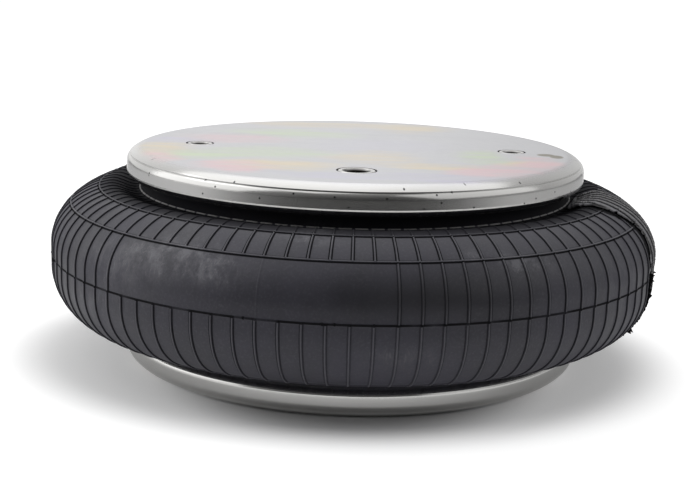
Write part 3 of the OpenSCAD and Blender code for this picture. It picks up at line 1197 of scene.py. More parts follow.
@dataclass(frozen=True)
class TornFlap:
    """The proud end of the cover sheet behind the seam, with its torn and undercut edge."""

    rise: float = 1.7
    end_share: float = 0.5
    least_share: float = 0.12
    fade_in: float = 4.0
    fade_out: float = 14.0
    bridge_drop: float = 0.3
    root_bends: float = 1.7
    overrun: float = 1.5
    row_step: float = 0.55
    turn: float = 24.0
    first_turn: float = 0.18
    next_turn: float = 0.4
    turn_step: float = 0.12
    path_at: tuple[float, ...] = (0.0, 0.25, 0.42, 0.62, 0.82, 1.0)
    path_turn: tuple[float, ...] = (-5.5, -3.4, -0.6, 1.6, -0.6, -1.0)
    tear_chance: float = 0.3
    tears: tuple[float, ...] = (-0.7, -0.2, 0.0, 0.0, 0.35, 0.8, 1.5)
    fray: float = 0.15
    # Width of the painted shadow in front of the torn edge, and its reach under it.
    shadow: float = 1.9
    shadow_under: float = 0.8
    # Painted highlight on the flap: its ribs, its top near the edge and its torn edge.
    crest: float = 2.0
    dust: float = 2.4
    rib_painted_highlight: float = 0.45
    rib_painted_highlight_above: float = 0.3
    edge_painted_highlight: float = 0.2
    edge_turn: float = 0.3
    # Painted shade in a stripe beside each rib on the flap's top.
    stripe: tuple[float, ...] = (0.2, 0.45, 0.7, 0.95, 1.2)

    def corners(self) -> tuple[FlapCorner, ...]:
        """The buried root, the undercut and the torn face, up to the flap's top.

        Returns:
            The corners from below.
        """
        return (FlapCorner(self.turn, share=0.0, sunk=0.5, groove=0.0, chalk=0.0),
                FlapCorner(0.75, share=0.0, sunk=0.5, groove=1.0, chalk=0.0),
                FlapCorner(0.75, share=0.25, sunk=0.0, groove=1.0, chalk=0.0),
                FlapCorner(0.05, share=0.60, sunk=0.0, groove=0.0, chalk=0.16))

    def top_turns(self) -> np.ndarray:
        """Places behind the edge of the rows on the flap's top, in degrees."""
        between = np.arange(self.next_turn, self.turn, self.turn_step)
        return np.concatenate([[self.first_turn], between, [self.turn]])

    def torn(self, count: int, seed: int) -> np.ndarray:
        """Jags of the torn edge, in degrees.

        Args:
            count: Number of places along the edge.
            seed: Seed of the tears.

        Returns:
            How far the edge lies behind its path at each place.
        """
        dice = random.Random(seed)
        jags, bite = [], 0.0
        for _ in range(count):
            if dice.random() < self.tear_chance:
                bite = dice.choice(self.tears)
            jags.append(bite + dice.uniform(-self.fray, self.fray))
        return np.array(jags)


@dataclass(frozen=True)
class MouldFlash:
    """The thin torn rubber that squeezed out between the mould's parts."""

    root_half: float = 0.7
    edge_half: float = 0.2
    buried: float = 0.7
    lean: float = -0.35
    row_step: float = 0.55
    rise: float = 0.95
    fray: float = 0.25
    spike_chance: float = 0.11
    spikes: tuple[float, ...] = (0.9, 1.4, 2.0)
    spike_decay: float = 0.5
    above_equator: float = 4.0
    below_neck: float = 14.0
    foot_clear: float = 34.0
    tags_at: tuple[float, ...] = (-78.6, -73.0, 73.5, 76.0)
    more_tags: int = 14
    tag_half: float = 0.7
    tag_rise: tuple[float, float] = (0.8, 2.0)
    tag_shape: tuple[float, ...] = (0.1, 0.7, 1.0, 0.5, 0.1)

    def add(self, stock: MeshStock, skin: Meridian, equator: float, seam: float, seed: int) -> None:
        """Add a fin along both seams, and small tags at the equator.

        Args:
            stock: The cover's shells so far.
            skin: The outer skin.
            equator: Distance along the skin of the equator.
            seam: Azimuth of the right-hand seam. The other one lies opposite.
            seed: Seed of the tears.
        """
        dice = random.Random(seed)
        last = skin.lengths[-1] - self.foot_clear
        for azimuth, first in ((seam, equator - self.above_equator), (seam - 180.0, self.below_neck)):
            along = np.arange(first, last, self.row_step)
            rises, spike = [], 0.0
            for _ in along:
                if dice.random() < self.spike_chance:
                    spike = dice.choice(self.spikes)
                rises.append(self.rise + spike + dice.uniform(-self.fray, self.fray))
                spike *= self.spike_decay
            self._add_fin(stock, skin, along, azimuth, np.array(rises))
        along = equator + np.linspace(-self.tag_half, self.tag_half, len(self.tag_shape))
        for azimuth in [*self.tags_at, *(dice.uniform(-180.0, 180.0) for _ in range(self.more_tags))]:
            rise = dice.uniform(*self.tag_rise)
            self._add_fin(stock, skin, along, azimuth, rise * np.array(self.tag_shape))

    def _add_fin(self, stock: MeshStock, skin: Meridian, along: np.ndarray, azimuth: float,
                 rise: np.ndarray) -> None:
        """Add one standing fin.

        Args:
            stock: The cover's shells so far.
            skin: The outer skin.
            along: Distances along the skin.
            azimuth: Azimuth of the fin.
            rise: Height of its torn edge at each distance.
        """
        place, normal = skin.at(along)
        turn = np.radians(np.full_like(along, azimuth))
        root, leaning = np.full_like(rise, -self.buried), self.lean * rise
        corners = []
        for side, lift, sideways in ((-self.root_half, root, 0.0), (-self.edge_half, rise, leaning),
                                     (self.edge_half, rise, leaning), (self.root_half, root, 0.0)):
            curve = place + normal * lift[:, None]
            corners.append(spin(curve, turn + (side + sideways) / curve[:, 0]))
        stock.add_grid(np.stack(corners, axis=1), False)


@dataclass(frozen=True)
class SkinGrid:
    """The cover's rows and columns: one value per row standing, and one per column lying."""

    skin: Meridian
    lines: RingLines
    row: dict[str, np.ndarray]
    column: dict[str, np.ndarray]

    @property
    def along(self) -> np.ndarray:
        """Distance along the skin of each row."""
        return self.row["along"]

    @property
    def between_ribs(self) -> np.ndarray:
        """True for the columns clear of every rib and of the painted shade beside it."""
        return (self.column["share"] == 0.0) & (self.column["groove"] == 0.0)

    def near(self, line: float, half: float) -> np.ndarray:
        """True for the rows on a ring."""
        return np.abs(self.along - line) < half


@dataclass
class RibbedCover:
    """The moulded outer rubber: its ribs and rings, its torn flap, its flash and its wear.

    Azimuths are in degrees from the side of the air port, towards the right-hand nut. The steps over a rib
    or a ring each give an offset from its middle, a share of its rise and a share of its painted shade.
    """

    rubber: MouldedRubber
    section: WallSection
    flap: TornFlap = TornFlap()
    flash: MouldFlash = MouldFlash()
    ribs: int = 95
    rib_phase: float = -0.70
    upper_shift: float = 0.18
    rib_rise: float = 0.62
    rib_half: float = 0.21
    rib_flank: float = 0.12
    rib_steps: tuple[tuple[float, float, float], ...] = (
        (-0.44, 0.0, 0.0), (-0.31, 0.0, 1.0), (-0.21, 0.0, 1.0), (-0.09, 1.0, 0.0),
        (0.09, 1.0, 0.0), (0.21, 0.0, 1.0), (0.31, 0.0, 1.0), (0.44, 0.0, 0.0),
        (1.25, 0.0, 0.0), (1.875, 0.0, 0.0), (2.5, 0.0, 0.0))
    ring_steps: tuple[tuple[float, float, float], ...] = (
        (-1.1, 0.0, 0.0), (-0.8, 0.0, 0.4), (-0.5, 0.0, 0.4), (-0.2, 1.0, 0.0),
        (0.2, 1.0, 0.0), (0.45, 0.0, 1.0), (0.95, 0.0, 1.0), (1.2, 0.0, 0.0))
    # Steps over the equator's ring: painted shade on it and beside it.
    shaded_ring_steps: tuple[tuple[float, float, float], ...] = (
        (-1.0, 0.0, 0.0), (-0.6, 0.0, 0.0), (-0.42, 0.3, 1.0), (-0.18, 1.0, 1.0),
        (0.18, 1.0, 1.0), (0.42, 0.3, 1.0), (0.6, 0.0, 0.0), (1.0, 0.0, 0.0))
    row_step: float = 1.9
    ring_clear: float = 1.5
    ring_crest: float = 0.6
    crown_share: float = 0.8
    crown_fade: float = 3.0
    crown_shade: float = 0.25
    crown_shade_fade: float = 6.0
    neck_fade: float = 2.0
    neck_half: float = 2.0
    # Painted shade under the upper rim, fading out over the hollow.
    neck_shade: float = 0.85
    hollow_fade: tuple[float, float] = (0.62, 0.8)
    foot_clear: float = 10.0
    foot_fade: float = 6.0
    equator_half: float = 1.0
    broken_every: int = 5
    broken_range: tuple[float, float] = (0.55, 1.4)
    proud_share: float = 0.5
    full_shade: float = 0.9
    # Less painted shade beside the ribs at the front, above and below the equator.
    front_shade_cut: tuple[float, float] = (0.45, 0.65)
    front_azimuth: float = 6.0
    front_turn: float = 26.0
    panel_first_rib: int = -12
    panel_last_rib: int = 2
    panel_weld_rib: int = -4
    weld_share: float = 0.12
    seam_azimuth: float = 69.8
    upper_pale_fade: float = 20.0
    inner_rows: int = 44
    sharp_angle: float = 60.0
    seed: int = 7
    scuffs: tuple[SkinMark, ...] = (
        SkinMark(-30.5, 73.0, 7.0, 5.0, 1.0), SkinMark(-36.5, 75.0, 5.0, 4.0, 0.9),
        SkinMark(-45.0, 67.0, 10.0, 10.0, 0.6), SkinMark(-28.6, 75.0, 7.5, 5.5, 0.7),
        SkinMark(-22.5, 70.0, 4.0, 4.0, 0.5), SkinMark(-8.5, 86.5, 5.0, 2.5, 0.9),
        SkinMark(30.0, 76.0, 6.0, 3.5, 0.9), SkinMark(22.0, 80.0, 4.0, 2.0, 0.6),
        SkinMark(-52.0, 46.0, 9.0, 8.0, 0.5), SkinMark(55.0, 60.0, 9.0, 12.0, 0.4),
        SkinMark(120.0, 74.0, 10.0, 5.0, 0.8), SkinMark(-150.0, 77.0, 8.0, 4.0, 0.8),
        SkinMark(170.0, 60.0, 9.0, 6.0, 0.5), SkinMark(8.0, 40.0, 6.0, 5.0, 0.35),
    )
    paling: tuple[SkinMark, ...] = (
        SkinMark(48.0, 79.0, 17.0, 18.0, 3.2), SkinMark(-40.0, 84.0, 25.0, 8.0, 0.5),
        SkinMark(10.0, 30.0, 60.0, 14.0, 0.6),
    )
    # Patches of painted shade, darkened towards black.
    wiped_and_painted_shade: tuple[SkinMark, ...] = (
        SkinMark(9.0, 65.0, 17.0, 10.0, 0.75), SkinMark(80.0, 58.0, 12.0, 22.0, 0.6),
    )

    @property
    def pitch(self) -> float:
        """Degrees from one rib to the next."""
        return 360.0 / self.ribs

    def _grid(self) -> SkinGrid:
        """Rows along the skin with close rows at every ring, and columns with close columns at every rib.

        Returns:
            The grid, with the shares that belong to each row and column.
        """
        skin, lines = self.section.skin(), self.section.lines()
        total = skin.lengths[-1]
        even = np.linspace(0.0, total, int(total / self.row_step) + 1)
        rows = [(along, 0.0, 0.0, 0.0, 0.0) for along in even]
        for ring, middle in zip(self.section.rings(), lines):
            rows = [row for row in rows if abs(row[0] - middle) > self.ring_clear or row[0] in (0.0, total)]
            for offset, rise, groove in self.shaded_ring_steps if ring.darkening else self.ring_steps:
                crest = rise * self.ring_crest * (1.0 - ring.darkening)
                rows.append((middle + offset, rise * ring.rise, groove, crest, ring.chalk * rise))
        columns = [(rib * self.pitch + self.rib_phase + offset, share, groove, rib)
                   for rib in range(-self.ribs // 2, self.ribs // 2)
                   for offset, share, groove in self.rib_steps]
        row = dict(zip(("along", "rise", "groove", "crest", "chalk"), np.array(sorted(rows)).T[..., None]))
        column = dict(zip(("azimuth", "share", "groove", "number"), np.array(columns).T[:, None, :]))
        return SkinGrid(skin, lines, row, column)

    def _standing(self, grid: SkinGrid) -> np.ndarray:
        """Share of the ribs' height that stands: none on the smooth panel, and less and less at both ends.

        Args:
            grid: The cover's rows and columns.

        Returns:
            The share at each vertex.
        """
        along, lines, number = grid.along, grid.lines, grid.column["number"]
        in_panel = ((along > lines.outer) & (along < lines.equator)
                    & (number > self.panel_first_rib) & (number < self.panel_last_rib))
        panel = np.where(in_panel, np.where(number == self.panel_weld_rib, self.weld_share, 0.0), 1.0)
        low_crown = smooth((along - lines.inner + self.crown_fade) / self.crown_fade)
        crown = self.crown_share + (1.0 - self.crown_share) * low_crown
        neck = smooth((along - lines.neck) / self.neck_fade)
        foot = smooth((along[-1] - self.foot_clear - along) / self.foot_fade)
        return panel * (crown * neck * foot)

    def _relief(self, grid: SkinGrid, standing: np.ndarray) -> np.ndarray:
        """Height of the ribs and rings over the skin. The neck's ring stands only between the ribs.

        Args:
            grid: The cover's rows and columns.
            standing: Share of the ribs' height that stands at each vertex.

        Returns:
            The height at each vertex.
        """
        ring = grid.row["rise"]
        ring = np.where(grid.near(grid.lines.neck, self.neck_half), ring * grid.between_ribs, ring)
        return np.maximum(self.rib_rise * grid.column["share"] * standing, ring)

    def _painted_shades(self, grid: SkinGrid, standing: np.ndarray, rise: np.ndarray) -> np.ndarray:
        """Share of the painted shade beside the ribs and rings, and of the painted shade under the rim.

        Args:
            grid: The cover's rows and columns.
            standing: Share of the ribs' height that stands at each vertex.
            rise: Height over the skin at each vertex.

        Returns:
            The share at each vertex.
        """
        along, lines = grid.along, grid.lines
        proud = np.clip(rise / (self.proud_share * self.rib_rise), 0.0, 1.0)
        clear = 1.0 - proud * (grid.row["groove"] < self.full_shade)
        low_crown = smooth((along - lines.inner + self.crown_shade_fade) / self.crown_shade_fade)
        shade_cut_above, shade_cut_below = self.front_shade_cut
        wear_and_shade_cut = np.where(along > lines.equator, shade_cut_below, np.where(along > lines.outer, shade_cut_above, 0.0))
        front = np.exp(-((grid.column["azimuth"] - self.front_azimuth) / self.front_turn) ** 2)
        faint = (self.crown_shade + (1.0 - self.crown_shade) * low_crown) * (1.0 - wear_and_shade_cut * front)
        # Painted shade at the feet of the ribs and beside the rings, fainter on the crown and at the front.
        groove = np.maximum(grid.column["groove"] * standing * faint, grid.row["groove"]) * clear
        # Painted shade under the upper rim: full at the neck, fading out across the hollow before the inner
        # ring.
        inwards = (along - lines.neck) / (lines.inner - lines.neck)
        faded = smooth((inwards - self.hollow_fade[0]) / self.hollow_fade[1])
        darkening = self.neck_shade * (1.0 - faded) * (inwards < 1.0)
        return np.maximum(groove, np.where(grid.row["chalk"] > 0.0, 0.0, darkening))

    def _break_equator(self, grid: SkinGrid, groove: np.ndarray) -> np.ndarray:
        """Make the painted shade on the equator's ring uneven round the equator.

        Args:
            grid: The cover's rows and columns.
            groove: Share of painted shade at each vertex.

        Returns:
            The uneven share.
        """
        count = groove.shape[1]
        knots = np.arange(0, count + self.broken_every, self.broken_every)
        dice = np.random.default_rng(self.seed)
        uneven = np.interp(np.arange(count), knots, dice.uniform(*self.broken_range, len(knots)))
        at_equator = grid.near(grid.lines.equator, self.equator_half)
        return np.where(at_equator, np.clip(groove * uneven, 0.0, 1.0), groove)

    def _under_flap(self, grid: SkinGrid, azimuth: np.ndarray) -> np.ndarray:
        """True in the painted shadow along the flap's edge.

        Args:
            grid: The cover's rows and columns.
            azimuth: Azimuth of each vertex.

        Returns:
            True or False for each vertex.
        """
        along, first, last = grid.along, grid.lines.neck, grid.lines.equator
        ahead = azimuth - self._flap_edge(grid.skin, along)
        swell = np.sin(math.pi * (along - first) / (last - first))
        depth = self.flap.shadow * np.sqrt(np.clip(swell, 0.0, 1.0))
        return (ahead > -depth) & (ahead < self.flap.shadow_under) & ((along > first) & (along < last))

    def make(self, roll: StrokeRoll) -> bpy.types.Object:
        """Mould the cover, with its torn flap and flash, as one piece.

        Args:
            roll: How the wall moves with the stroke.

        Returns:
            The cover, in place of its frame node.
        """
        grid = self._grid()
        standing = self._standing(grid)
        rise = self._relief(grid, standing)
        groove = self._painted_shades(grid, standing, rise)
        crest = np.maximum(grid.column["share"] * standing, grid.row["crest"]) * (groove < 0.5)
        crest = np.where(grid.near(grid.lines.neck, self.neck_half), 0.0, crest)
        groove = self._break_equator(grid, groove)
        shift = self.upper_shift * smooth((grid.lines.equator + self.equator_half - grid.along)
                                           / (2.0 * self.equator_half))
        # Painted shadow in front of the flap's torn edge: full painted shade and no paler crest.
        shadow = self._under_flap(grid, grid.column["azimuth"] + shift)
        groove, crest = np.where(shadow, 1.0, groove), np.where(shadow, 0.0, crest)
        chalk = grid.row["chalk"] * grid.between_ribs
        stock = MeshStock()
        stock.add_grid(self._shell(grid, rise, shift), True)
        marks = {name: [np.pad(values, ((0, self.inner_rows), (0, 0))).ravel()]
                 for name, values in (("groove", groove), ("crest", crest), ("chalk", chalk))}
        self._add_flap(stock, grid.skin, marks)
        self.flash.add(stock, grid.skin, grid.lines.equator, self.seam_azimuth, self.seed)
        piece = stock.make("ribbed_cover", self.rubber.make(), self.sharp_angle)
        points = np.concatenate(stock.points)
        for name, values in marks.items():
            known = np.concatenate(values)
            # The flash fins take full painted shade, so they show black.
            on_flash = 1.0 if name == "groove" else 0.0
            store(piece, name, np.pad(known, (0, stock.count - len(known)), constant_values=on_flash))
        # Paler above the equator, and where the paling marks lie.
        lying = smooth((points[:, 2] - self.section.equator_z) / self.upper_pale_fade)
        store(piece, "scuff", np.clip(self._field(points, self.scuffs), 0.0, 1.0))
        store(piece, "dust", lying + self._field(points, self.paling))
        store(piece, "clean", np.clip(self._field(points, self.wiped_and_painted_shade), 0.0, 1.0))
        return roll.settle(piece, points, "bellows_cover")

    def _shell(self, grid: SkinGrid, rise: np.ndarray, shift: np.ndarray) -> np.ndarray:
        """Places of the ribbed outside, followed by those of the smooth inside on the way back.

        Args:
            grid: The cover's rows and columns.
            rise: Height over the skin at each vertex.
            shift: Degrees by which each row is turned.

        Returns:
            Places in millimetres, as rows by columns by three.
        """
        along, azimuth = grid.along[:, 0], grid.column["azimuth"]
        place, normal = grid.skin.at(along)
        outer = spin(place[:, None, :] + normal[:, None, :] * rise[..., None], np.radians(azimuth + shift))
        back = np.linspace(along[-1], along[0], self.inner_rows)
        place, normal = grid.skin.at(back)
        turn = np.radians(azimuth + np.interp(back, along, shift[:, 0])[:, None])
        return np.concatenate([outer, spin((place - self.section.cover_t * normal)[:, None, :], turn)])

    def _rib_profile(self, azimuth: np.ndarray) -> np.ndarray:
        """Height of the ribs at any azimuth, as a share of their rise.

        Args:
            azimuth: Azimuths in degrees.

        Returns:
            1 on a rib's crest, and 0 between the ribs.
        """
        half = self.pitch / 2.0
        away = np.abs((azimuth - self.rib_phase - self.upper_shift + half) % self.pitch - half)
        return np.clip((self.rib_half - away) / self.rib_flank, 0.0, 1.0)

    def _flap_reach(self, skin: Meridian) -> tuple[float, float]:
        """Distances along the skin at which the flap begins and ends.

        Args:
            skin: The outer skin.

        Returns:
            The first and the last distance.
        """
        wall = self.section
        return (skin.length_near(wall.neck_r + self.flap.root_bends * wall.valley_bend_r, wall.valley_z),
                skin.length_near(wall.equator_r, wall.equator_z))

    def _flap_edge(self, skin: Meridian, along: np.ndarray) -> np.ndarray:
        """Azimuth of the flap's edge, without its tears.

        Args:
            skin: The outer skin.
            along: Distances along it.

        Returns:
            The azimuth at each distance.
        """
        first, last = self._flap_reach(skin)
        path = np.interp((along - first) / (last - first), self.flap.path_at, self.flap.path_turn)
        return self.seam_azimuth + path

    def _add_flap(self, stock: MeshStock, skin: Meridian, marks: dict[str, list[np.ndarray]]) -> None:
        """Add the torn flap.

        Args:
            stock: The cover's shells so far.
            skin: The outer skin.
            marks: The cover's shares of painted shade, crest and whitening, to which the flap's own are
                added.
        """
        flap = self.flap
        first, last = self._flap_reach(skin)
        along = np.arange(first, last + flap.overrun, flap.row_step)
        edge = self._flap_edge(skin, along) + flap.torn(len(along), self.seed)
        place, normal = skin.at(along)
        crest_r, crest_z = place[place[:, 1].argmax()]
        bridge = np.zeros_like(place)
        up_to_crest = np.maximum(crest_z - flap.bridge_drop - place[:, 1], 0.0)
        bridge[:, 1] = np.where(place[:, 0] < crest_r, up_to_crest, 0.0)
        fade = smooth((along - first) / flap.fade_in) * smooth((along[-1] - along) / flap.fade_out)
        low_down = 1.0 - (1.0 - flap.end_share) * np.clip((along - first) / (last - first), 0.0, 1.0)
        height = flap.rise * np.maximum(fade, flap.least_share) * low_down
        rings: list[np.ndarray] = []
        added: dict[str, list[np.ndarray]] = {name: [] for name in marks}

        def add_row(offset: float, share: float, lift: np.ndarray, **shares: Any) -> None:
            """Add one row of the flap's section, with its marks.

            Args:
                offset: Degrees behind the edge.
                share: Share of the bridge over the hollow.
                lift: Height over the skin.
                shares: Painted shade, crest and whitening.
            """
            rings.append(spin(place + bridge * share + normal * lift[:, None], np.radians(edge + offset)))
            for name, values in shares.items():
                added[name].append(values * np.ones_like(along))

        # The undercut takes full painted shade, and the torn face's top a painted highlight.
        for corner in flap.corners():
            add_row(corner.offset, corner.share, height * corner.share - corner.sunk,
                    groove=corner.groove, crest=0.0, chalk=corner.chalk)
        # Painted highlight on the flap's ribs and near its edge, and painted shade in a stripe beside each
        # rib.
        for offset in flap.top_turns():
            ribs = self._rib_profile(edge + offset)
            share = float(1.0 - smooth(np.array(offset / flap.turn)))
            before = np.max([self._rib_profile(edge + offset + beyond) for beyond in flap.stripe], axis=0)
            edge_painted_highlight = flap.edge_painted_highlight if offset < flap.edge_turn else 0.0
            add_row(offset, share, height * share + self.rib_rise * ribs,
                    groove=np.where((ribs == 0.0) & (before > 0.0), 1.0, 0.0),
                    crest=np.where(ribs > 0.0, flap.crest, flap.dust * share),
                    chalk=np.where(ribs > flap.rib_painted_highlight_above, flap.rib_painted_highlight, edge_painted_highlight))
        stock.add_grid(np.stack(rings, axis=1), False)
        for name, values in added.items():
            marks[name].append(np.stack(values, axis=1).ravel())

    def _field(self, points: np.ndarray, marks: Sequence[SkinMark]) -> np.ndarray:
        """How strongly the marks show at each vertex.

        Args:
            points: Places in millimetres.
            marks: The marks to add up.

        Returns:
            The sum of the marks' strengths at each place.
        """
        azimuth = np.degrees(np.arctan2(points[:, 0], -points[:, 1]))
        field = np.zeros(len(points))
        for mark in marks:
            turn = ((azimuth - mark.azimuth + 180.0) % 360.0 - 180.0) / mark.half_turn
            rise = (points[:, 2] - mark.height) / mark.half_height
            field += mark.strength * np.exp(-turn ** 2 - rise ** 2)
        return field


@dataclass
class BellowsWall:
    """The four layers of the cord-reinforced rubber wall, from the ribbed cover to the airtight liner."""

    rubber: MouldedRubber
    ply: CordPly
    liner: PlainRubber
    section: WallSection = WallSection()
    ply_t: float = 0.9
    liner_t: float = 1.0
    outer_tail: float = 2.05
    inner_tail: float = 0.25
    liner_start: float = 90.0
    segments: int = 192
    sharp_angle: float = 50.0

    def make(self) -> None:
        """Make the cover, the two plies and the liner."""
        roll = StrokeRoll(self.section)
        RibbedCover(self.rubber, self.section).make(roll)
        cord, airtight = self.ply.make(), self.liner.make()
        depth = self.section.cover_t
        for name, thickness, start, tail, material, slot in (
                ("outer_cord_ply", self.ply_t, 0.0, self.outer_tail, cord, "cord_ply"),
                ("inner_cord_ply", self.ply_t, 0.0, self.inner_tail, cord, "cord_ply"),
                ("inner_liner", self.liner_t, self.liner_start, 0.0, airtight, "liner_rubber")):
            outer = self.section.carcass(depth, start, tail)
            depth += thickness
            inner = self.section.carcass(depth, start, tail)
            loop = np.concatenate([outer, inner[::-1]])
            turn = np.linspace(-math.pi, math.pi, self.segments, endpoint=False)
            stock = MeshStock()
            stock.add_grid(spin(loop[:, None, :], turn[None, :]), True)
            piece = stock.make(f"{name}_layer", material, self.sharp_angle)
            roll.settle(piece, np.concatenate(stock.points), name)


# Studio


@dataclass(frozen=True)
class Softbox:
    """A rectangular lamp behind a diffuser, aimed at the part."""

    name: str
    place: tuple[float, float, float]
    width: float
    depth: float
    radiance: float


@dataclass(frozen=True)
class FloorGlow:
    """A level of white on the floor that rises outwards over a ring, which is squeezed along X. Inside the
    ring the floor glows less, a painted shadow round the part.
    """

    level: float
    reach: tuple[float, float]
    squeeze: float
    x: float = 0.0


@dataclass
class Studio:
    """The white sweep, the lamps, the dark flag and the camera. Lengths are in metres."""

    camera_distance: float = 0.7231
    camera_height: float = 0.21017
    camera_lens_mm: float = 74.156
    camera_sensor_mm: float = 36.0
    camera_pitch: float = 0.2142
    camera_yaw: float = -0.002
    camera_roll: float = 0.0298
    part_turn: float = 0.0095
    lamp_aim: tuple[float, float, float] = (0.0, 0.0, 0.06)
    softboxes: tuple[Softbox, ...] = (
        Softbox("overhead_softbox", place=(-0.16, 0.18, 1.05), width=1.9, depth=1.4, radiance=0.70),
        Softbox("left_softbox", place=(-1.05, -0.12, 0.6), width=1.4, depth=1.1, radiance=0.85),
        Softbox("right_softbox", place=(0.92, -0.40, 0.75), width=1.4, depth=1.1, radiance=0.52),
    )
    floor_radius: float = 7.0
    floor_segments: int = 96
    floor_white: float = 0.85
    floor_mottle: float = 0.01
    far_glow: float = 0.20
    far_glow_r: tuple[float, float] = (0.3, 1.2)
    glows: tuple[FloorGlow, ...] = (
        FloorGlow(level=0.45, reach=(0.122, 0.160), squeeze=0.87, x=-0.006),
        FloorGlow(level=0.25, reach=(0.112, 0.150), squeeze=1.35),
    )
    mirrored_glow: float = 0.55
    surround_front: float = 0.06
    surround_back: float = 0.97
    surround_right: float = 0.70
    surround_right_x: tuple[float, float] = (0.03, 0.22)
    surround_fill: float = 0.44
    flag_inner_r: float = 0.40
    flag_outer_r: float = 6.9
    flag_height: float = 0.004
    flag_half_turn: float = 150.0
    flag_edges: int = 49
    flag_fade: tuple[float, float] = (-0.96, -0.20)
    flag_black: Colour = (0.050, 0.050, 0.050)
    flag_felt: Colour = (0.070, 0.070, 0.071)
    flag_pale: Colour = (0.85, 0.85, 0.86)

    def make_camera(self) -> None:
        """Set the camera at the photograph's viewing angle."""
        pitch, yaw, roll = self.camera_pitch, self.camera_yaw, self.camera_roll
        forward = Vector((math.sin(yaw) * math.cos(pitch), math.cos(yaw) * math.cos(pitch), -math.sin(pitch)))
        right = Vector((math.cos(yaw), -math.sin(yaw), 0.0))
        up = right.cross(forward)
        rolled_right = right * math.cos(roll) + up * math.sin(roll)
        rolled_up = up * math.cos(roll) - right * math.sin(roll)
        pose = Matrix((rolled_right, rolled_up, -forward)).transposed().to_4x4()
        pose.translation = Vector((0.0, -self.camera_distance, self.camera_height))
        data = bpy.data.cameras.new("camera")
        data.lens = self.camera_lens_mm
        data.sensor_width = self.camera_sensor_mm
        camera = put("camera", data)
        camera.matrix_world = Matrix.Rotation(-self.part_turn, 4, "Z") @ pose
        bpy.context.scene.camera = camera

    def make_lamps(self) -> None:
        """Hang one softbox over the part and one on each side."""
        for box in self.softboxes:
            data = bpy.data.lights.new(box.name, "AREA")
            data.shape = "RECTANGLE"
            data.size, data.size_y = box.width, box.depth
            data.energy = box.radiance * math.pi * box.width * box.depth
            lamp = put(box.name, data)
            lamp.location = box.place
            aim = Vector(self.lamp_aim) - Vector(box.place)
            lamp.rotation_euler = aim.to_track_quat("-Z", "Y").to_euler()
            lamp.visible_camera = False

    def make_world(self) -> None:
        """A surround that is white behind the part and falls off to a dark room on the camera's side."""
        world = bpy.data.worlds.new("white_surround")
        world.use_nodes = True
        graph = NodeGraph(world.node_tree)
        background = graph.tree.nodes["Background"]
        way = graph.add("ShaderNodeTexCoord", {}).outputs["Generated"]
        split = graph.add("ShaderNodeSeparateXYZ", {0: way}).outputs
        level = graph.line(split["Y"], (-1.0, 1.0), (self.surround_front, self.surround_back))
        dimmer = graph.line(split["X"], self.surround_right_x, (1.0, self.surround_right))
        camera, mirrored = graph.rays()
        share = graph.line(mirrored, (0.0, 1.0), (self.surround_fill, 1.0))
        lit = graph.math("MULTIPLY", graph.math("MULTIPLY", level, dimmer), share)
        graph.feed(background.inputs["Color"], (1.0, 1.0, 1.0, 1.0))
        graph.feed(background.inputs["Strength"], graph.math("MAXIMUM", lit, camera))
        bpy.context.scene.world = world

    def make_floor(self) -> None:
        """A white floor that shows as white and still takes the part's shadow.

        Its glow shows in full to the camera, by a share in metal or glass, and lights nothing else.
        """
        turn = np.linspace(0.0, 2.0 * math.pi, self.floor_segments, endpoint=False)
        rim = np.stack([np.cos(turn), np.sin(turn), np.zeros_like(turn)], axis=1) * self.floor_radius
        mesh = bpy.data.meshes.new("floor")
        mesh.from_pydata(rim.tolist(), [], [tuple(range(len(rim)))])
        graph = FinishGraph("white_sweep")
        paper = graph.noise(graph.place, scale=40.0, detail=3.0)
        low, high = self.floor_white - self.floor_mottle, self.floor_white + self.floor_mottle
        tone = graph.mix(paper, (low,) * 3, (high,) * 3)
        matt = graph.add("ShaderNodeBsdfDiffuse", {"Color": tone})
        white = graph.span(graph.radius(), self.far_glow_r, (0.0, self.far_glow))
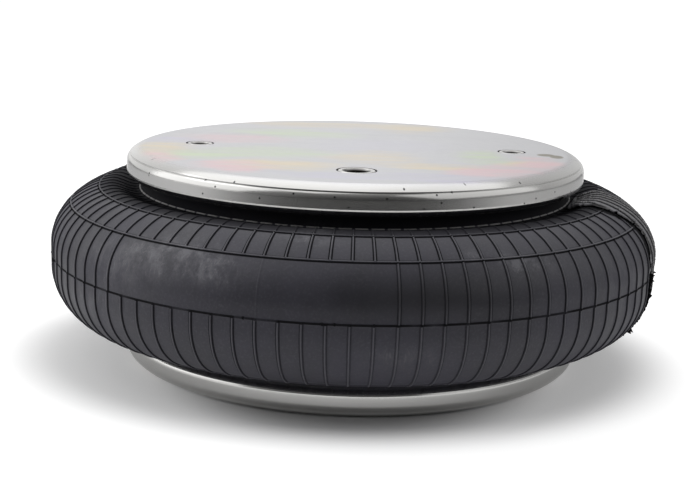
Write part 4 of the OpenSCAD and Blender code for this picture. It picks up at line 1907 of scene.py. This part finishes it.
        # Painted shadow: the glow fades out over rings round the part, so the floor is darker there than its
        # real shadow makes it.
        for ring in self.glows:
            away = graph.length(graph.add("ShaderNodeMapping", {
                "Vector": graph.place, "Location": (-ring.x * ring.squeeze, 0.0, 0.0),
                "Scale": (ring.squeeze, 1.0, 0.0)}).outputs["Vector"])
            white = graph.math("ADD", white, graph.span(away, ring.reach, (0.0, ring.level)))
        camera, mirrored = graph.rays()
        seen = graph.add("ShaderNodeMath", {0: mirrored, 1: self.mirrored_glow, 2: camera},
                         operation="MULTIPLY_ADD").outputs[0]
        glow = graph.add("ShaderNodeEmission", {"Strength": graph.math("MULTIPLY", seen, white)})
        both = graph.add("ShaderNodeAddShader", {0: matt.outputs[0], 1: glow.outputs[0]})
        graph.feed(graph.tree.nodes["Material Output"].inputs["Surface"], both.outputs[0])
        graph.tree.nodes.remove(graph.shader)
        mesh.materials.append(graph.material)
        floor = put("floor", mesh)

    def make_flag(self) -> None:
        """A black card on the floor round the camera's side, which gives the bright rims their dark bands."""
        graph = FinishGraph("black_card")
        felt = graph.noise(graph.place, scale=30.0)
        y = graph.add("ShaderNodeSeparateXYZ", {0: graph.place}).outputs["Y"]
        pale = graph.span(graph.math("DIVIDE", y, graph.radius()), self.flag_fade, (0.0, 1.0))
        black = graph.mix(felt, self.flag_black, self.flag_felt)
        graph.set(Base_Color=graph.mix(pale, black, self.flag_pale), Roughness=0.9)
        turn = np.radians(np.linspace(-self.flag_half_turn, self.flag_half_turn, self.flag_edges))
        rims = [spin(np.array([radius, self.flag_height]), turn)
                for radius in (self.flag_inner_r, self.flag_outer_r)]
        edges = self.flag_edges
        mesh = bpy.data.meshes.new("floor_flag")
        mesh.from_pydata(np.concatenate(rims).tolist(), [],
                         [(i, i + 1, edges + i + 1, edges + i) for i in range(edges - 1)])
        mesh.materials.append(graph.material)
        card = put("floor_flag", mesh)
        card.visible_camera = False
        card.visible_diffuse = False
        card.visible_shadow = False

    def make(self) -> None:
        """Build the studio."""
        bpy.context.scene.view_settings.view_transform = "Standard"
        self.make_camera()
        self.make_lamps()
        self.make_world()
        self.make_floor()
        self.make_flag()
        log.info("built the studio")


def main() -> None:
    """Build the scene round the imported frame."""
    logging.basicConfig(level=logging.INFO, format="%(name)s: %(message)s")
    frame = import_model()
    Studio().make()
    filler = PlainRubber("bead_rubber", deep=(0.018, 0.018, 0.019), pale=(0.032, 0.032, 0.033))
    liner = PlainRubber("liner_rubber", deep=(0.030, 0.027, 0.024), pale=(0.052, 0.047, 0.042))
    BeadPlates(ZincPlating(), BrassedWire(), filler).dress(frame["nodes"])
    Inserts(TurnedSteel()).make()
    BellowsWall(MouldedRubber(), CordPly(), liner).make()


if __name__ == "__main__":
    main()
